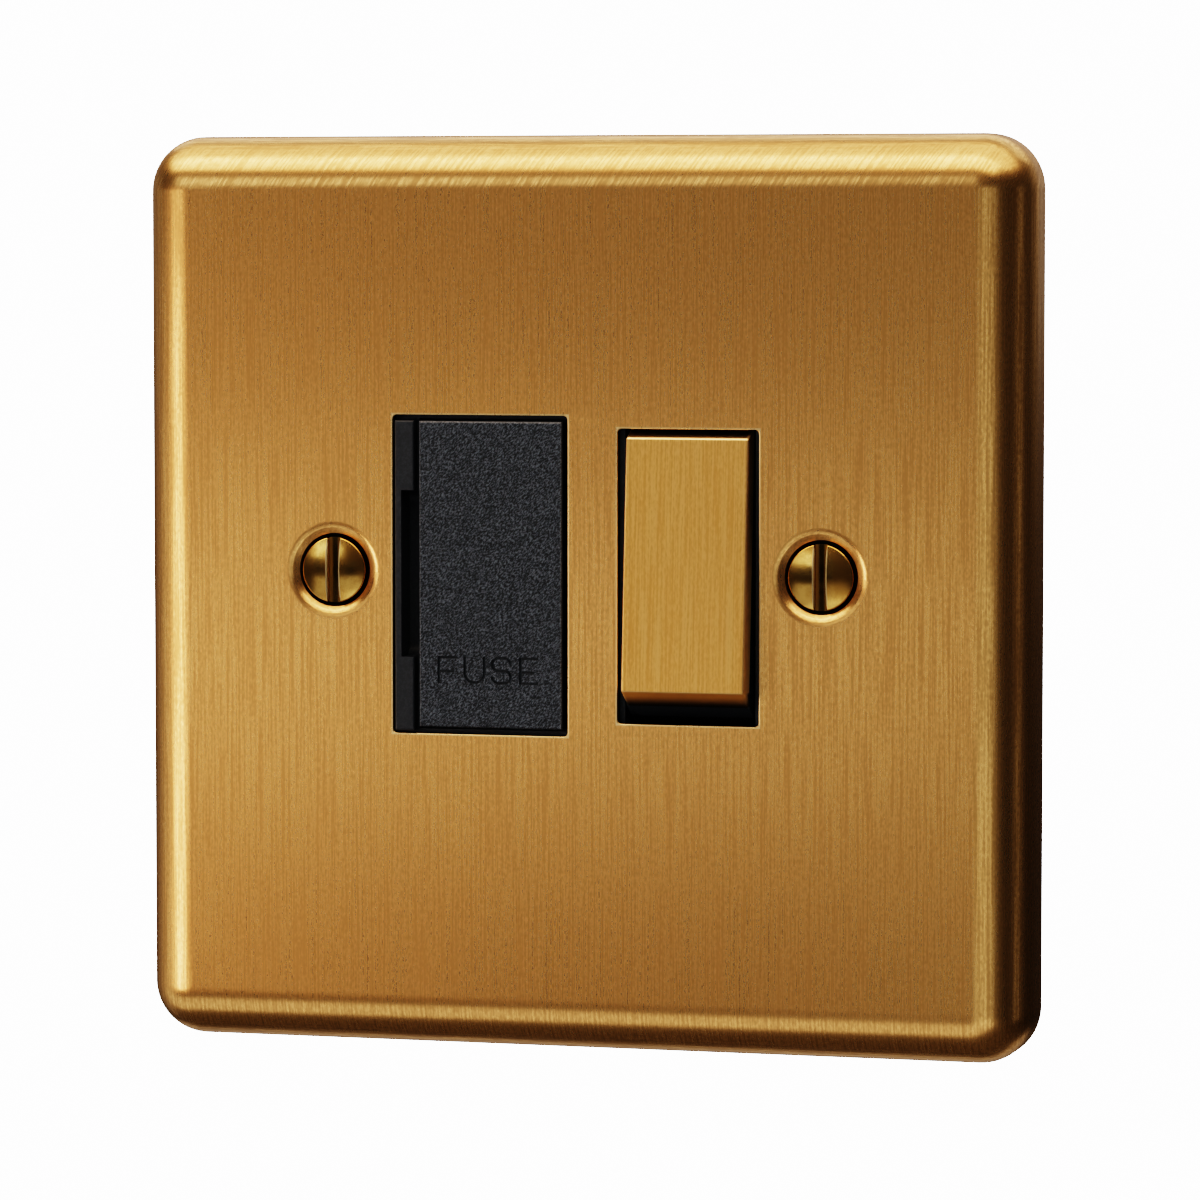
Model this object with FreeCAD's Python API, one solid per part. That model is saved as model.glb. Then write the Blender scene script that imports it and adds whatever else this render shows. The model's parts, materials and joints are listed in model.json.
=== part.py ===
import FreeCAD, Part
import math
import os

# Fused spur unit: brass wall plate, fuse drawer, double-pole rocker switch and terminals.
# Millimetres. X to the right, Y into the wall, Z up. The origin lies in the wall plane,
# halfway between the two fixing screws.

os.makedirs("parts", exist_ok=True)

# Wall plate
PLATE_SIDE = 110.0
PLATE_DEPTH = 10.0
PLATE_DROP = 2.7
PLATE_SHEET = 1.2
PLATE_CORNER_R = 6.6
PLATE_EDGE_R = 6.5
WINDOW_CORNER_R = 0.5
WINDOW_BEVEL = 0.15
FUSE_WINDOW_LEFT = -22.6
FUSE_WINDOW_RIGHT = -0.8
FUSE_WINDOW_BOTTOM = -19.5
FUSE_WINDOW_TOP = 18.8
ROCKER_WINDOW_SIDE_GAP = 1.15
ROCKER_WINDOW_BOTTOM_GAP = 3.05
ROCKER_WINDOW_TOP_GAP = 2.0

# Fixing screws and the pressed dimples they sit in
SCREW_SPACING = 60.3
SCREW_HEAD_R = 3.975
SCREW_RIM_ROUND = 0.2
SCREW_EDGE_DEPTH = 0.25
SCREW_DOME = 0.7
SCREW_SIDE_DEPTH = 1.4
SCREW_NECK_R = 1.45
SCREW_THREAD_R = 1.75
SCREW_THREAD_LENGTH = 20.0
SCREW_SLOT_WIDTH = 1.45
SCREW_SLOT_DEPTH = 1.3
SCREW_SLOT_EDGE = 0.12
DIMPLE_OUTER_R = 5.75
DIMPLE_INNER_R = 4.425
DIMPLE_SLOPE_DEPTH = 0.65
DIMPLE_ROUND = 1.5
DIMPLE_HOLE_R = 1.9
CUP_DEPTH = 4.2
CUP_BACK_R = 3.2
CUP_FRONT_R = 5.9
CUP_CLEARANCE = 0.3

# Front moulding
FLANGE_SIDE_MARGIN = 0.45
FLANGE_THICKNESS = 2.0
BODY_TO_SCREW = 4.15
BODY_END_WALL = 1.0
SPLIT_Y = 4.0
PILLAR_R = 7.4
SLAB_PROUD = 0.3
STRIP_LEFT = -22.3
STRIP_RIGHT = -19.85
STRIP_BOTTOM = -19.2
STRIP_TOP = 18.15
STRIP_ROUND = 0.25
NOTCH_LEFT = -21.45
NOTCH_BOTTOM = -10.3
NOTCH_TOP = 9.75
NOTCH_DEPTH = 3.4
NOTCH_ROUND = 1.6

# Fuse drawer
SLAB_LEFT = -19.25
SLAB_RIGHT = -1.4
SLAB_BOTTOM = -18.7
SLAB_TOP = 18.1
SLAB_THICKNESS = 2.0
SLAB_ROUND = 0.25
SLAB_GAP = 0.3
SLAB_STOP_GAP = 0.4
TRAY_HALF_WIDTH = 6.0
TRAY_END_WALL = 3.2
TRAY_BACK = 0.8
TRAY_INNER_HALF_WIDTH = 4.4
TRAY_END_GAP = 0.3
TRAY_WEB_Y = -7.1
TRAY_SLIDE_GAP = 0.15
FUSE_X = -11.5
FUSE_Y = -3.5
FUSE_LENGTH = 25.4
FUSE_CAP_R = 3.175
FUSE_TUBE_R = 2.95
FUSE_CAP_LENGTH = 6.2
FUSE_CAP_END = 0.5
CARRIER_CLIP_HALF_LENGTH = 3.0
CARRIER_CLIP_SHEET = 0.4
CARRIER_CLIP_BACK = -1.5

# Engraved word on the drawer
LETTER_BASE = -13.4
LETTER_HEIGHT = 3.3
LETTER_STROKE = 0.32
LETTER_DEPTH = 0.2
LETTER_F_LEFT = -16.9
LETTER_F_WIDTH = 2.5
LETTER_U_LEFT = -13.65
LETTER_U_WIDTH = 2.75
LETTER_S_LEFT = -10.2
LETTER_S_WIDTH = 2.6
LETTER_E_LEFT = -6.7
LETTER_E_WIDTH = 2.35
LETTER_F_BAR = 0.45

# Rocker, drawn upright about its pivot and then tipped to OFF
ROCKER_TILT = 4.4
ROCKER_X = 14.05
PIVOT_Y = 1.3
PIVOT_Z = 0.3
ROCKER_FACE_Y = -12.95
ROCKER_HALF_WIDTH = 7.5
ROCKER_HALF_LENGTH = 15.05
ROCKER_FLARE = 28.7
ROCKER_ROUND = 0.25
CAP_SIDE = 3.0
CAP_SHEET = 0.9
ROCKER_SKIRT = 2.2
STEM_HALF_WIDTH = 7.0
STEM_HALF_HEIGHT = 7.0
STEM_BACK = 1.8
PIN_R = 1.25
PIN_REACH = 9.5
PIN_CLEARANCE = 0.05
ROCKER_POCKET_GAP = 0.5
ROCKER_POCKET_END_GAP = 1.4
POLE_OFFSET = 4.0
TUBE_R = 2.4
TUBE_BACK = 4.5
TUBE_BORE_R = 1.35
TUBE_BORE_FRONT = -5.0
PLUNGER_R = 1.25
PLUNGER_FRONT = 2.5
PLUNGER_TIP = 7.3
SPRING_R = 1.0
SPRING_WIRE_R = 0.17
SPRING_TURNS = 8

# Contact bars that see-saw on the fulcrums
BAR_AXIS_Y = 10.6
BAR_HALF_WIDTH = 1.8
BAR_HALF_LENGTH = 11.3
BAR_FRONT = -1.7
BAR_BACK = -0.1
BAR_GROOVE_R = 0.85
TIP_HALF_WIDTH = 1.5
TIP_BACK = 0.7
TIP_START = 9.0
TIP_END = 11.2

# Fixed strips on the chamber floor
FLOOR_Y = 13.4
STRIP_SHEET = 0.8
FULCRUM_R = 0.8
FULCRUM_TOP = 1.3
FIXED_START = 8.9
FIXED_TIP_Y = 12.3
FIXED_TIP_START = 9.5
FIXED_TIP_END = 11.7
LIVE_ARM_LEFT = -13.0
LIVE_ARM_INSET = 1.1
LIVE_ARM_WIDTH = 3.0

# Fuse jaws
JAW_GAP = 0.05
JAW_SHEET = 0.6
JAW_INSET = 0.4
JAW_LENGTH = 4.8
JAW_FRONT = -5.8
JAW_BASE_Y = 4.2
JAW_BASE_SHEET = 0.8
JAW_FOOT_HALF_WIDTH = 1.5
JAW_FOOT_THICKNESS = 0.8

# Terminals
TERMINAL_WIDTH = 6.0
TERMINAL_FRONT = 6.0
TERMINAL_BACK = 14.0
TERMINAL_END_WALL = 1.7
TERMINAL_LENGTH = 8.0
WIRE_Y = 9.5
WIRE_R = 1.9
WIRE_DEPTH = 7.2
WIRE_HOLE_R = 2.2
CLAMP_R = 1.5
CLAMP_FRONT = 11.5
CLAMP_BACK = 15.8
CLAMP_SLOT_WIDTH = 0.7
CLAMP_SLOT_DEPTH = 0.8
CELL_GAP = 0.05
EARTH_X = -17.5

# Rear moulding and its four screws
BASE_BACK = 16.5
CHAMBER_LEFT = 6.8
CHAMBER_RIGHT = 21.3
CHAMBER_END_GAP = 2.2
PARTITION_HALF = 0.75
PARTITION_FRONT = 7.0
ASSEMBLY_LEFT_MARGIN = 2.7
ASSEMBLY_RIGHT_MARGIN = 2.4
ASSEMBLY_END_MARGIN = 2.6
ASSEMBLY_R = 1.4
ASSEMBLY_CLEARANCE = 0.1
ASSEMBLY_HEAD_R = 2.2
ASSEMBLY_HEAD = 1.6
ASSEMBLY_TIP = -4.0
ASSEMBLY_SLOT_WIDTH = 0.7
ASSEMBLY_SLOT_DEPTH = 0.8

# Earth strap
STRAP_SHEET = 0.6
STRAP_RING_R = 4.2
STRAP_TONGUE_HALF = 2.5
STRAP_RISER_BACK = -2.8
STRAP_LEG_INSET = 1.0
STRAP_LEG_WIDTH = 3.5
STRAP_TAIL_Y = 9.0
STRAP_TAIL_WIDTH = 3.0

# Values that follow from the sizes above
FACE_Y = -PLATE_DEPTH
SHEET_BACK_Y = FACE_Y + PLATE_SHEET
SLAB_Y = FACE_Y - SLAB_PROUD
SLAB_BACK_Y = SLAB_Y + SLAB_THICKNESS
SCREW_X = SCREW_SPACING / 2
CUP_BACK_Y = FACE_Y + CUP_DEPTH
HEAD_EDGE_Y = FACE_Y + SCREW_EDGE_DEPTH
HEAD_SIDE_Y = FACE_Y + SCREW_SIDE_DEPTH
STRIP_Y = FLOOR_Y - STRIP_SHEET
LIVE_X = ROCKER_X - POLE_OFFSET
NEUTRAL_X = ROCKER_X + POLE_OFFSET
FLARE = math.tan(math.radians(ROCKER_FLARE))
ROCKER_WINDOW_LEFT = ROCKER_X - ROCKER_HALF_WIDTH - ROCKER_WINDOW_SIDE_GAP
ROCKER_WINDOW_RIGHT = ROCKER_X + ROCKER_HALF_WIDTH + ROCKER_WINDOW_SIDE_GAP
ROCKER_WINDOW_BOTTOM = PIVOT_Z - ROCKER_HALF_LENGTH - ROCKER_WINDOW_BOTTOM_GAP
ROCKER_WINDOW_TOP = PIVOT_Z + ROCKER_HALF_LENGTH + ROCKER_WINDOW_TOP_GAP
SKIRT_HALF_LENGTH = ROCKER_HALF_LENGTH + (CAP_SIDE + ROCKER_SKIRT) * FLARE
ROCKER_POCKET_HALF_HEIGHT = SKIRT_HALF_LENGTH + ROCKER_POCKET_END_GAP
TRAY_INNER_HALF_HEIGHT = FUSE_LENGTH / 2 + TRAY_END_GAP
TRAY_HALF_HEIGHT = TRAY_INNER_HALF_HEIGHT + TRAY_END_WALL
JAW_END = FUSE_LENGTH / 2 - JAW_INSET
JAW_START = JAW_END - JAW_LENGTH
CHAMBER_TOP = PIVOT_Z + BAR_HALF_LENGTH + CHAMBER_END_GAP
CHAMBER_BOTTOM = PIVOT_Z - BAR_HALF_LENGTH - CHAMBER_END_GAP
TERMINAL_INNER = CHAMBER_TOP + TERMINAL_END_WALL
TERMINAL_OUTER = TERMINAL_INNER + TERMINAL_LENGTH
LIVE_ARM_BOTTOM = TERMINAL_INNER - LIVE_ARM_INSET
LIVE_ARM_TOP = LIVE_ARM_BOTTOM + LIVE_ARM_WIDTH
BODY_HALF_WIDTH = SCREW_X - BODY_TO_SCREW
BODY_HALF_HEIGHT = TERMINAL_OUTER + BODY_END_WALL
FLANGE_HALF_WIDTH = SCREW_X + PILLAR_R + FLANGE_SIDE_MARGIN
ASSEMBLY_LEFT_X = ASSEMBLY_LEFT_MARGIN - BODY_HALF_WIDTH
ASSEMBLY_RIGHT_X = BODY_HALF_WIDTH - ASSEMBLY_RIGHT_MARGIN
ASSEMBLY_Z = BODY_HALF_HEIGHT - ASSEMBLY_END_MARGIN
STRAP_LEG_BOTTOM = TERMINAL_INNER + STRAP_LEG_INSET
STRAP_TOP = STRAP_LEG_BOTTOM + STRAP_LEG_WIDTH
STRAP_TAIL_TOP = STRAP_LEG_BOTTOM + STRAP_TAIL_WIDTH
X_AXIS = FreeCAD.Vector(1, 0, 0)
Y_AXIS = FreeCAD.Vector(0, 1, 0)
Z_AXIS = FreeCAD.Vector(0, 0, 1)


def box(x, y, z):
    corner = FreeCAD.Vector(x[0], y[0], z[0])
    return Part.makeBox(x[1] - x[0], y[1] - y[0], z[1] - z[0], corner)


def round_y(radius, x, z, y):
    return Part.makeCylinder(radius, y[1] - y[0], FreeCAD.Vector(x, y[0], z), Y_AXIS)


def round_x(radius, y, z, x):
    return Part.makeCylinder(radius, x[1] - x[0], FreeCAD.Vector(x[0], y, z), X_AXIS)


def round_z(radius, x, y, z):
    return Part.makeCylinder(radius, z[1] - z[0], FreeCAD.Vector(x, y, z[0]), Z_AXIS)


def turned(profile, x, z):
    """Solid turned about the Y direction; the profile lists (radius, y)."""
    points = [FreeCAD.Vector(x + radius, y, z) for radius, y in profile]
    face = Part.Face(Part.makePolygon(points + points[:1]))
    return face.revolve(FreeCAD.Vector(x, 0, z), Y_AXIS, 360)


def side_prism(outline, x):
    """Prism along X; the outline lists (y, z)."""
    points = [FreeCAD.Vector(x[0], y, z) for y, z in outline]
    face = Part.Face(Part.makePolygon(points + points[:1]))
    return face.extrude(FreeCAD.Vector(x[1] - x[0], 0, 0))


def edges_along(shape, axis, keep):
    found = []
    for edge in shape.Edges:
        run = edge.valueAt(edge.LastParameter) - edge.valueAt(edge.FirstParameter)
        straight = run.Length > 0 and abs(run.dot(axis)) > 0.999 * run.Length
        if straight and keep(edge.CenterOfMass):
            found.append(edge)
    return found


def edges_at_y(shape, y):
    level = []
    for edge in shape.Edges:
        bounds = edge.BoundBox
        if abs(bounds.YMin - y) < 1e-4 and abs(bounds.YMax - y) < 1e-4:
            level.append(edge)
    return level


def pillow(side, corner, roll, front, back):
    """Square block with round corners and a rolled front edge."""
    half = side / 2
    block = box((-half, half), (front, back), (-PLATE_DROP - half, -PLATE_DROP + half))
    block = block.makeFillet(corner, edges_along(block, Y_AXIS, lambda point: True))
    return block.makeFillet(roll, edges_at_y(block, front))


def window(x, z, corner):
    depth = (FACE_Y - SCREW_DOME, SHEET_BACK_Y + SCREW_DOME)
    opening = box(x, depth, z)
    return opening.makeFillet(corner, edges_along(opening, Y_AXIS, lambda point: True))


def window_edges(shape, x, z):
    inside = []
    for edge in edges_at_y(shape, FACE_Y):
        middle = edge.CenterOfMass
        if x[0] - 0.1 < middle.x < x[1] + 0.1 and z[0] - 0.1 < middle.z < z[1] + 0.1:
            inside.append(edge)
    return inside


def save(name, shape):
    merged = shape.removeSplitter()
    solid = merged if merged.isValid() else shape
    if len(solid.Solids) == 1:
        solid = solid.Solids[0]
    solid.exportStep("parts/" + name + ".step")
    print(name, len(shape.Solids), round(solid.Volume, 1), solid.isValid())


# Plate: pressed sheet, two windows and two screw cups
plate = pillow(PLATE_SIDE, PLATE_CORNER_R, PLATE_EDGE_R, FACE_Y, 0)
hollow = pillow(PLATE_SIDE - 2 * PLATE_SHEET, PLATE_CORNER_R - PLATE_SHEET,
                PLATE_EDGE_R - PLATE_SHEET, SHEET_BACK_Y, 0)
plate = plate.cut(hollow)
fuse_window = ((FUSE_WINDOW_LEFT, FUSE_WINDOW_RIGHT), (FUSE_WINDOW_BOTTOM, FUSE_WINDOW_TOP))
rocker_window = ((ROCKER_WINDOW_LEFT, ROCKER_WINDOW_RIGHT),
                 (ROCKER_WINDOW_BOTTOM, ROCKER_WINDOW_TOP))
for span_x, span_z in (fuse_window, rocker_window):
    plate = plate.cut(window(span_x, span_z, WINDOW_CORNER_R))
    plate = plate.makeChamfer(WINDOW_BEVEL, window_edges(plate, span_x, span_z))
seat_start_y = HEAD_SIDE_Y - (DIMPLE_INNER_R - SCREW_HEAD_R)
seat_end_y = HEAD_SIDE_Y + SCREW_HEAD_R - DIMPLE_HOLE_R
dimple = [(0, FACE_Y - PLATE_SHEET), (DIMPLE_OUTER_R, FACE_Y - PLATE_SHEET),
          (DIMPLE_OUTER_R, FACE_Y), (DIMPLE_INNER_R, FACE_Y + DIMPLE_SLOPE_DEPTH),
          (DIMPLE_INNER_R, seat_start_y), (DIMPLE_HOLE_R, seat_end_y),
          (DIMPLE_HOLE_R, CUP_BACK_Y + PLATE_SHEET), (0, CUP_BACK_Y + PLATE_SHEET)]
cup = [(0, FACE_Y + PLATE_SHEET / 2), (CUP_FRONT_R, FACE_Y + PLATE_SHEET / 2),
       (CUP_FRONT_R, SHEET_BACK_Y), (CUP_BACK_R + 1, CUP_BACK_Y - 1),
       (CUP_BACK_R, CUP_BACK_Y), (0, CUP_BACK_Y)]
for x in (-SCREW_X, SCREW_X):
    plate = plate.fuse(turned(cup, x, 0)).cut(turned(dimple, x, 0))
shoulders = [edge for edge in edges_at_y(plate, FACE_Y)
             if abs(edge.BoundBox.ZLength - 2 * DIMPLE_OUTER_R) < 0.01]
plate = plate.makeFillet(DIMPLE_ROUND, shoulders)
save("front_plate", plate)

# Fixing screws: domed slotted head, cone, plain neck, M3.5 thread
dome_y = HEAD_EDGE_Y - SCREW_DOME
dome_r = (SCREW_HEAD_R ** 2 + SCREW_DOME ** 2) / (2 * SCREW_DOME)
for side, name in ((-1, "fixing_screw_left"), (1, "fixing_screw_right")):
    x = side * SCREW_X
    head = round_y(SCREW_HEAD_R, x, 0, (dome_y, HEAD_SIDE_Y))
    head = head.common(Part.makeSphere(dome_r, FreeCAD.Vector(x, dome_y + dome_r, 0)))
    rim = [edge for edge in head.Edges if abs(edge.BoundBox.YMin - HEAD_EDGE_Y) < 0.01
           and abs(edge.BoundBox.YMax - HEAD_EDGE_Y) < 0.01 and edge.Length > SCREW_HEAD_R]
    head = head.makeFillet(SCREW_RIM_ROUND, rim)
    cone_end_y = HEAD_SIDE_Y + SCREW_HEAD_R - SCREW_NECK_R
    cone = turned([(0, HEAD_SIDE_Y), (SCREW_HEAD_R, HEAD_SIDE_Y),
                   (SCREW_NECK_R, cone_end_y), (0, cone_end_y)], x, 0)
    neck = round_y(SCREW_NECK_R, x, 0, (cone_end_y, 0))
    thread = round_y(SCREW_THREAD_R, x, 0, (0, SCREW_THREAD_LENGTH))
    slot = box((x - SCREW_SLOT_WIDTH / 2, x + SCREW_SLOT_WIDTH / 2),
               (dome_y - SCREW_SLOT_DEPTH, dome_y + SCREW_SLOT_DEPTH),
               (-2 * SCREW_HEAD_R, 2 * SCREW_HEAD_R))
    screw = head.fuse([cone, neck, thread]).cut(slot)
    slot_edges = [edge for edge in screw.Edges
                  if abs(abs(edge.BoundBox.XMin - x) - SCREW_SLOT_WIDTH / 2) < 1e-4
                  and edge.BoundBox.XLength < 1e-4
                  and edge.BoundBox.YMax < HEAD_EDGE_Y + SCREW_EDGE_DEPTH
                  and edge.BoundBox.ZLength > SCREW_HEAD_R]
    save(name, screw.makeChamfer(SCREW_SLOT_EDGE, slot_edges))

# Earth strap: ring under the left cup, riser and leg on the body side, tail to the terminal
ring_y = (CUP_BACK_Y, CUP_BACK_Y + STRAP_SHEET)
side_x = (-BODY_HALF_WIDTH - STRAP_SHEET, -BODY_HALF_WIDTH)
tail_y = (STRAP_TAIL_Y, STRAP_TAIL_Y + STRAP_SHEET)
earth_face_x = EARTH_X - TERMINAL_WIDTH / 2
strap_parts = [
    round_y(STRAP_RING_R, -SCREW_X, 0, ring_y),
    box((-SCREW_X, side_x[1]), ring_y, (-STRAP_TONGUE_HALF, STRAP_TONGUE_HALF)),
    box(side_x, (ring_y[0], STRAP_RISER_BACK), (-STRAP_TONGUE_HALF, STRAP_TOP)),
    box(side_x, (ring_y[0], tail_y[1]), (STRAP_LEG_BOTTOM, STRAP_TOP)),
    box((side_x[0], earth_face_x), tail_y, (STRAP_LEG_BOTTOM, STRAP_TAIL_TOP))]
strap = strap_parts[0].fuse(strap_parts[1:])
save("earth_strap", strap.cut(round_y(DIMPLE_HOLE_R, -SCREW_X, 0, (CUP_BACK_Y - 1, 0))))

# Front moulding: flange behind the plate, two pockets, screw pillars, lever strip
front = box((-FLANGE_HALF_WIDTH, FLANGE_HALF_WIDTH),
            (SHEET_BACK_Y, SHEET_BACK_Y + FLANGE_THICKNESS),
            (-BODY_HALF_HEIGHT, BODY_HALF_HEIGHT))
front = front.fuse([
    box((-BODY_HALF_WIDTH, BODY_HALF_WIDTH), (SHEET_BACK_Y, SPLIT_Y),
        (-BODY_HALF_HEIGHT, BODY_HALF_HEIGHT)),
    round_y(PILLAR_R, -SCREW_X, 0, (SHEET_BACK_Y, 0)),
    round_y(PILLAR_R, SCREW_X, 0, (SHEET_BACK_Y, 0))])
lever = box((STRIP_LEFT, STRIP_RIGHT), (SLAB_Y, SHEET_BACK_Y + 1), (STRIP_BOTTOM, STRIP_TOP))
lever = lever.makeFillet(STRIP_ROUND, edges_at_y(lever, SLAB_Y))
front = front.fuse(lever)
slab_x = (SLAB_LEFT, SLAB_RIGHT)
slab_z = (SLAB_BOTTOM, SLAB_TOP)
tray_x = (FUSE_X - TRAY_HALF_WIDTH, FUSE_X + TRAY_HALF_WIDTH)
tray_z = (-TRAY_HALF_HEIGHT, TRAY_HALF_HEIGHT)
ledge_y = SLAB_BACK_Y + SLAB_STOP_GAP
notch = box((NOTCH_LEFT, tray_x[0] - TRAY_SLIDE_GAP), (SLAB_Y - 1, SLAB_Y + NOTCH_DEPTH),
            (NOTCH_BOTTOM, NOTCH_TOP))
notch = notch.makeFillet(NOTCH_ROUND, edges_along(
    notch, X_AXIS, lambda point: point.y > SLAB_Y))
rocker_x = (ROCKER_X - ROCKER_HALF_WIDTH - ROCKER_POCKET_GAP,
            ROCKER_X + ROCKER_HALF_WIDTH + ROCKER_POCKET_GAP)
front = front.cut([
    box((slab_x[0] - SLAB_GAP, slab_x[1] + SLAB_GAP), (SHEET_BACK_Y, ledge_y),
        (slab_z[0] - SLAB_GAP, slab_z[1] + SLAB_GAP)),
    box((tray_x[0] - TRAY_SLIDE_GAP, tray_x[1] + TRAY_SLIDE_GAP), (SHEET_BACK_Y, SPLIT_Y),
        (tray_z[0] - TRAY_SLIDE_GAP, tray_z[1] + TRAY_SLIDE_GAP)),
    notch,
    box(rocker_x, (SHEET_BACK_Y, SPLIT_Y),
        (PIVOT_Z - ROCKER_POCKET_HALF_HEIGHT, PIVOT_Z + ROCKER_POCKET_HALF_HEIGHT)),
    round_x(PIN_R + PIN_CLEARANCE, PIVOT_Y, PIVOT_Z,
            (ROCKER_X - PIN_REACH - ROCKER_POCKET_GAP, ROCKER_X + PIN_REACH + ROCKER_POCKET_GAP))])
for x in (-SCREW_X, SCREW_X):
    front = front.cut([round_y(CUP_FRONT_R + CUP_CLEARANCE, x, 0, (SHEET_BACK_Y, CUP_BACK_Y)),
                       round_y(DIMPLE_HOLE_R, x, 0, (CUP_BACK_Y, 0))])
assembly_spots = []
for x in (ASSEMBLY_LEFT_X, ASSEMBLY_RIGHT_X):
    for z in (-ASSEMBLY_Z, ASSEMBLY_Z):
        assembly_spots.append((x, z))
        front = front.cut(round_y(ASSEMBLY_R, x, z, (ASSEMBLY_TIP, SPLIT_Y)))
for part in strap_parts:
    front = front.cut(part)
save("module_front", front)


# Letters of the engraved word, each made of plain strokes
def stroke(x, z):
    return box(x, (SLAB_Y - LETTER_DEPTH, SLAB_Y + LETTER_DEPTH), z)


def bend(x, z, outer, quarter_turns, start):
    """Part of a ring in the face, swept from the start angle."""
    ring_y = (SLAB_Y - LETTER_DEPTH, SLAB_Y + LETTER_DEPTH)
    ring = round_y(outer, x, z, ring_y).cut(round_y(outer - LETTER_STROKE, x, z, ring_y))
    keep = None
    for turn in range(quarter_turns):
        angle = math.radians(start + 90 * turn + 45)
        size = 2 * outer
        sign_x = 1 if math.cos(angle) > 0 else -1
        sign_z = 1 if math.sin(angle) > 0 else -1
        quarter = box(sorted((x, x + sign_x * size)), ring_y, sorted((z, z + sign_z * size)))
        keep = quarter if keep is None else keep.fuse(quarter)
    return ring.common(keep)


def letter_bars(left, width, heights):
    bars = [stroke((left, left + LETTER_STROKE), (LETTER_BASE, LETTER_BASE + LETTER_HEIGHT))]
    for height in heights:
        reach = width if height != LETTER_HEIGHT / 2 else width - LETTER_F_BAR
        level = LETTER_BASE + height
        bars.append(stroke((left, left + reach), (level - LETTER_STROKE, level)))
    return bars


top = LETTER_BASE + LETTER_HEIGHT
letters = letter_bars(LETTER_F_LEFT, LETTER_F_WIDTH, (LETTER_HEIGHT, LETTER_HEIGHT / 2))
letters += letter_bars(LETTER_E_LEFT, LETTER_E_WIDTH,
                       (LETTER_STROKE, LETTER_HEIGHT / 2, LETTER_HEIGHT))
u_r = LETTER_U_WIDTH / 2
u_mid = LETTER_U_LEFT + u_r
letters += [stroke((LETTER_U_LEFT, LETTER_U_LEFT + LETTER_STROKE), (LETTER_BASE + u_r, top)),
            stroke((LETTER_U_LEFT + LETTER_U_WIDTH - LETTER_STROKE,
                    LETTER_U_LEFT + LETTER_U_WIDTH), (LETTER_BASE + u_r, top)),
            bend(u_mid, LETTER_BASE + u_r, u_r, 2, 180)]
s_r = (LETTER_HEIGHT + LETTER_STROKE) / 4
s_left = LETTER_S_LEFT + s_r
s_right = LETTER_S_LEFT + LETTER_S_WIDTH - s_r
s_low = LETTER_BASE + s_r
s_high = top - s_r
middle = s_low + s_r
letters += [bend(s_left, s_high, s_r, 2, 90), bend(s_right, s_low, s_r, 2, 270),
            bend(s_right, s_high, s_r, 1, 0), bend(s_left, s_low, s_r, 1, 180),
            stroke((s_left, s_right), (top - LETTER_STROKE, top)),
            stroke((s_left, s_right), (middle - LETTER_STROKE, middle)),
            stroke((s_left, s_right), (LETTER_BASE, LETTER_BASE + LETTER_STROKE))]

# Fuse drawer: face slab, tray behind it, engraved word
slab = box(slab_x, (SLAB_Y, SLAB_BACK_Y), slab_z)
slab = slab.makeFillet(SLAB_ROUND, edges_at_y(slab, SLAB_Y))
carrier = slab.fuse(box(tray_x, (SLAB_BACK_Y, TRAY_BACK), tray_z))
carrier = carrier.cut(box(
    (FUSE_X - TRAY_INNER_HALF_WIDTH, FUSE_X + TRAY_INNER_HALF_WIDTH), (TRAY_WEB_Y, TRAY_BACK),
    (-TRAY_INNER_HALF_HEIGHT, TRAY_INNER_HALF_HEIGHT)))
save("fuse_carrier", carrier.cut(letters))

# Spring clip that keeps the fuse in the drawer
clip_z = (-CARRIER_CLIP_HALF_LENGTH, CARRIER_CLIP_HALF_LENGTH)
clip_inner = FUSE_TUBE_R
clip_outer = FUSE_TUBE_R + CARRIER_CLIP_SHEET
clip = box((FUSE_X - clip_outer, FUSE_X + clip_outer),
           (TRAY_WEB_Y, TRAY_WEB_Y + CARRIER_CLIP_SHEET), clip_z)
for side in (-1, 1):
    span = sorted((FUSE_X + side * clip_inner, FUSE_X + side * clip_outer))
    clip = clip.fuse(box(span, (TRAY_WEB_Y, CARRIER_CLIP_BACK), clip_z))
save("carrier_clip", clip)

# Cartridge fuse
half_fuse = FUSE_LENGTH / 2
tube_half = half_fuse - FUSE_CAP_END
save("fuse_tube", round_z(FUSE_TUBE_R, FUSE_X, FUSE_Y, (-tube_half, tube_half)))
for side, name in ((-1, "fuse_cap_lower"), (1, "fuse_cap_upper")):
    outer_z = sorted((side * (half_fuse - FUSE_CAP_LENGTH), side * half_fuse))
    inner_z = sorted((side * (half_fuse - FUSE_CAP_LENGTH), side * tube_half))
    cap = round_z(FUSE_CAP_R, FUSE_X, FUSE_Y, outer_z)
    save(name, cap.cut(round_z(FUSE_TUBE_R, FUSE_X, FUSE_Y, inner_z)))

# Jaws that grip the fuse caps, with a foot to the circuit
foot_outer = TERMINAL_INNER
for side, name in ((-1, "fuse_clip_lower"), (1, "fuse_clip_upper")):
    inner_x = FUSE_CAP_R + JAW_GAP
    outer_x = inner_x + JAW_SHEET
    base_y = (JAW_BASE_Y, JAW_BASE_Y + JAW_BASE_SHEET)
    jaw_z = sorted((side * JAW_START, side * JAW_END))
    jaw = box((FUSE_X - outer_x, FUSE_X + outer_x), base_y, sorted((side * JAW_START, side * foot_outer)))
    jaw = jaw.fuse([
        box((FUSE_X - outer_x, FUSE_X - inner_x), (JAW_FRONT, base_y[1]), jaw_z),
        box((FUSE_X + inner_x, FUSE_X + outer_x), (JAW_FRONT, base_y[1]), jaw_z),
        box((FUSE_X - JAW_FOOT_HALF_WIDTH, FUSE_X + JAW_FOOT_HALF_WIDTH), (base_y[0], STRIP_Y),
            sorted((side * (foot_outer - JAW_FOOT_THICKNESS), side * foot_outer)))])
    save(name, jaw)


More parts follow.
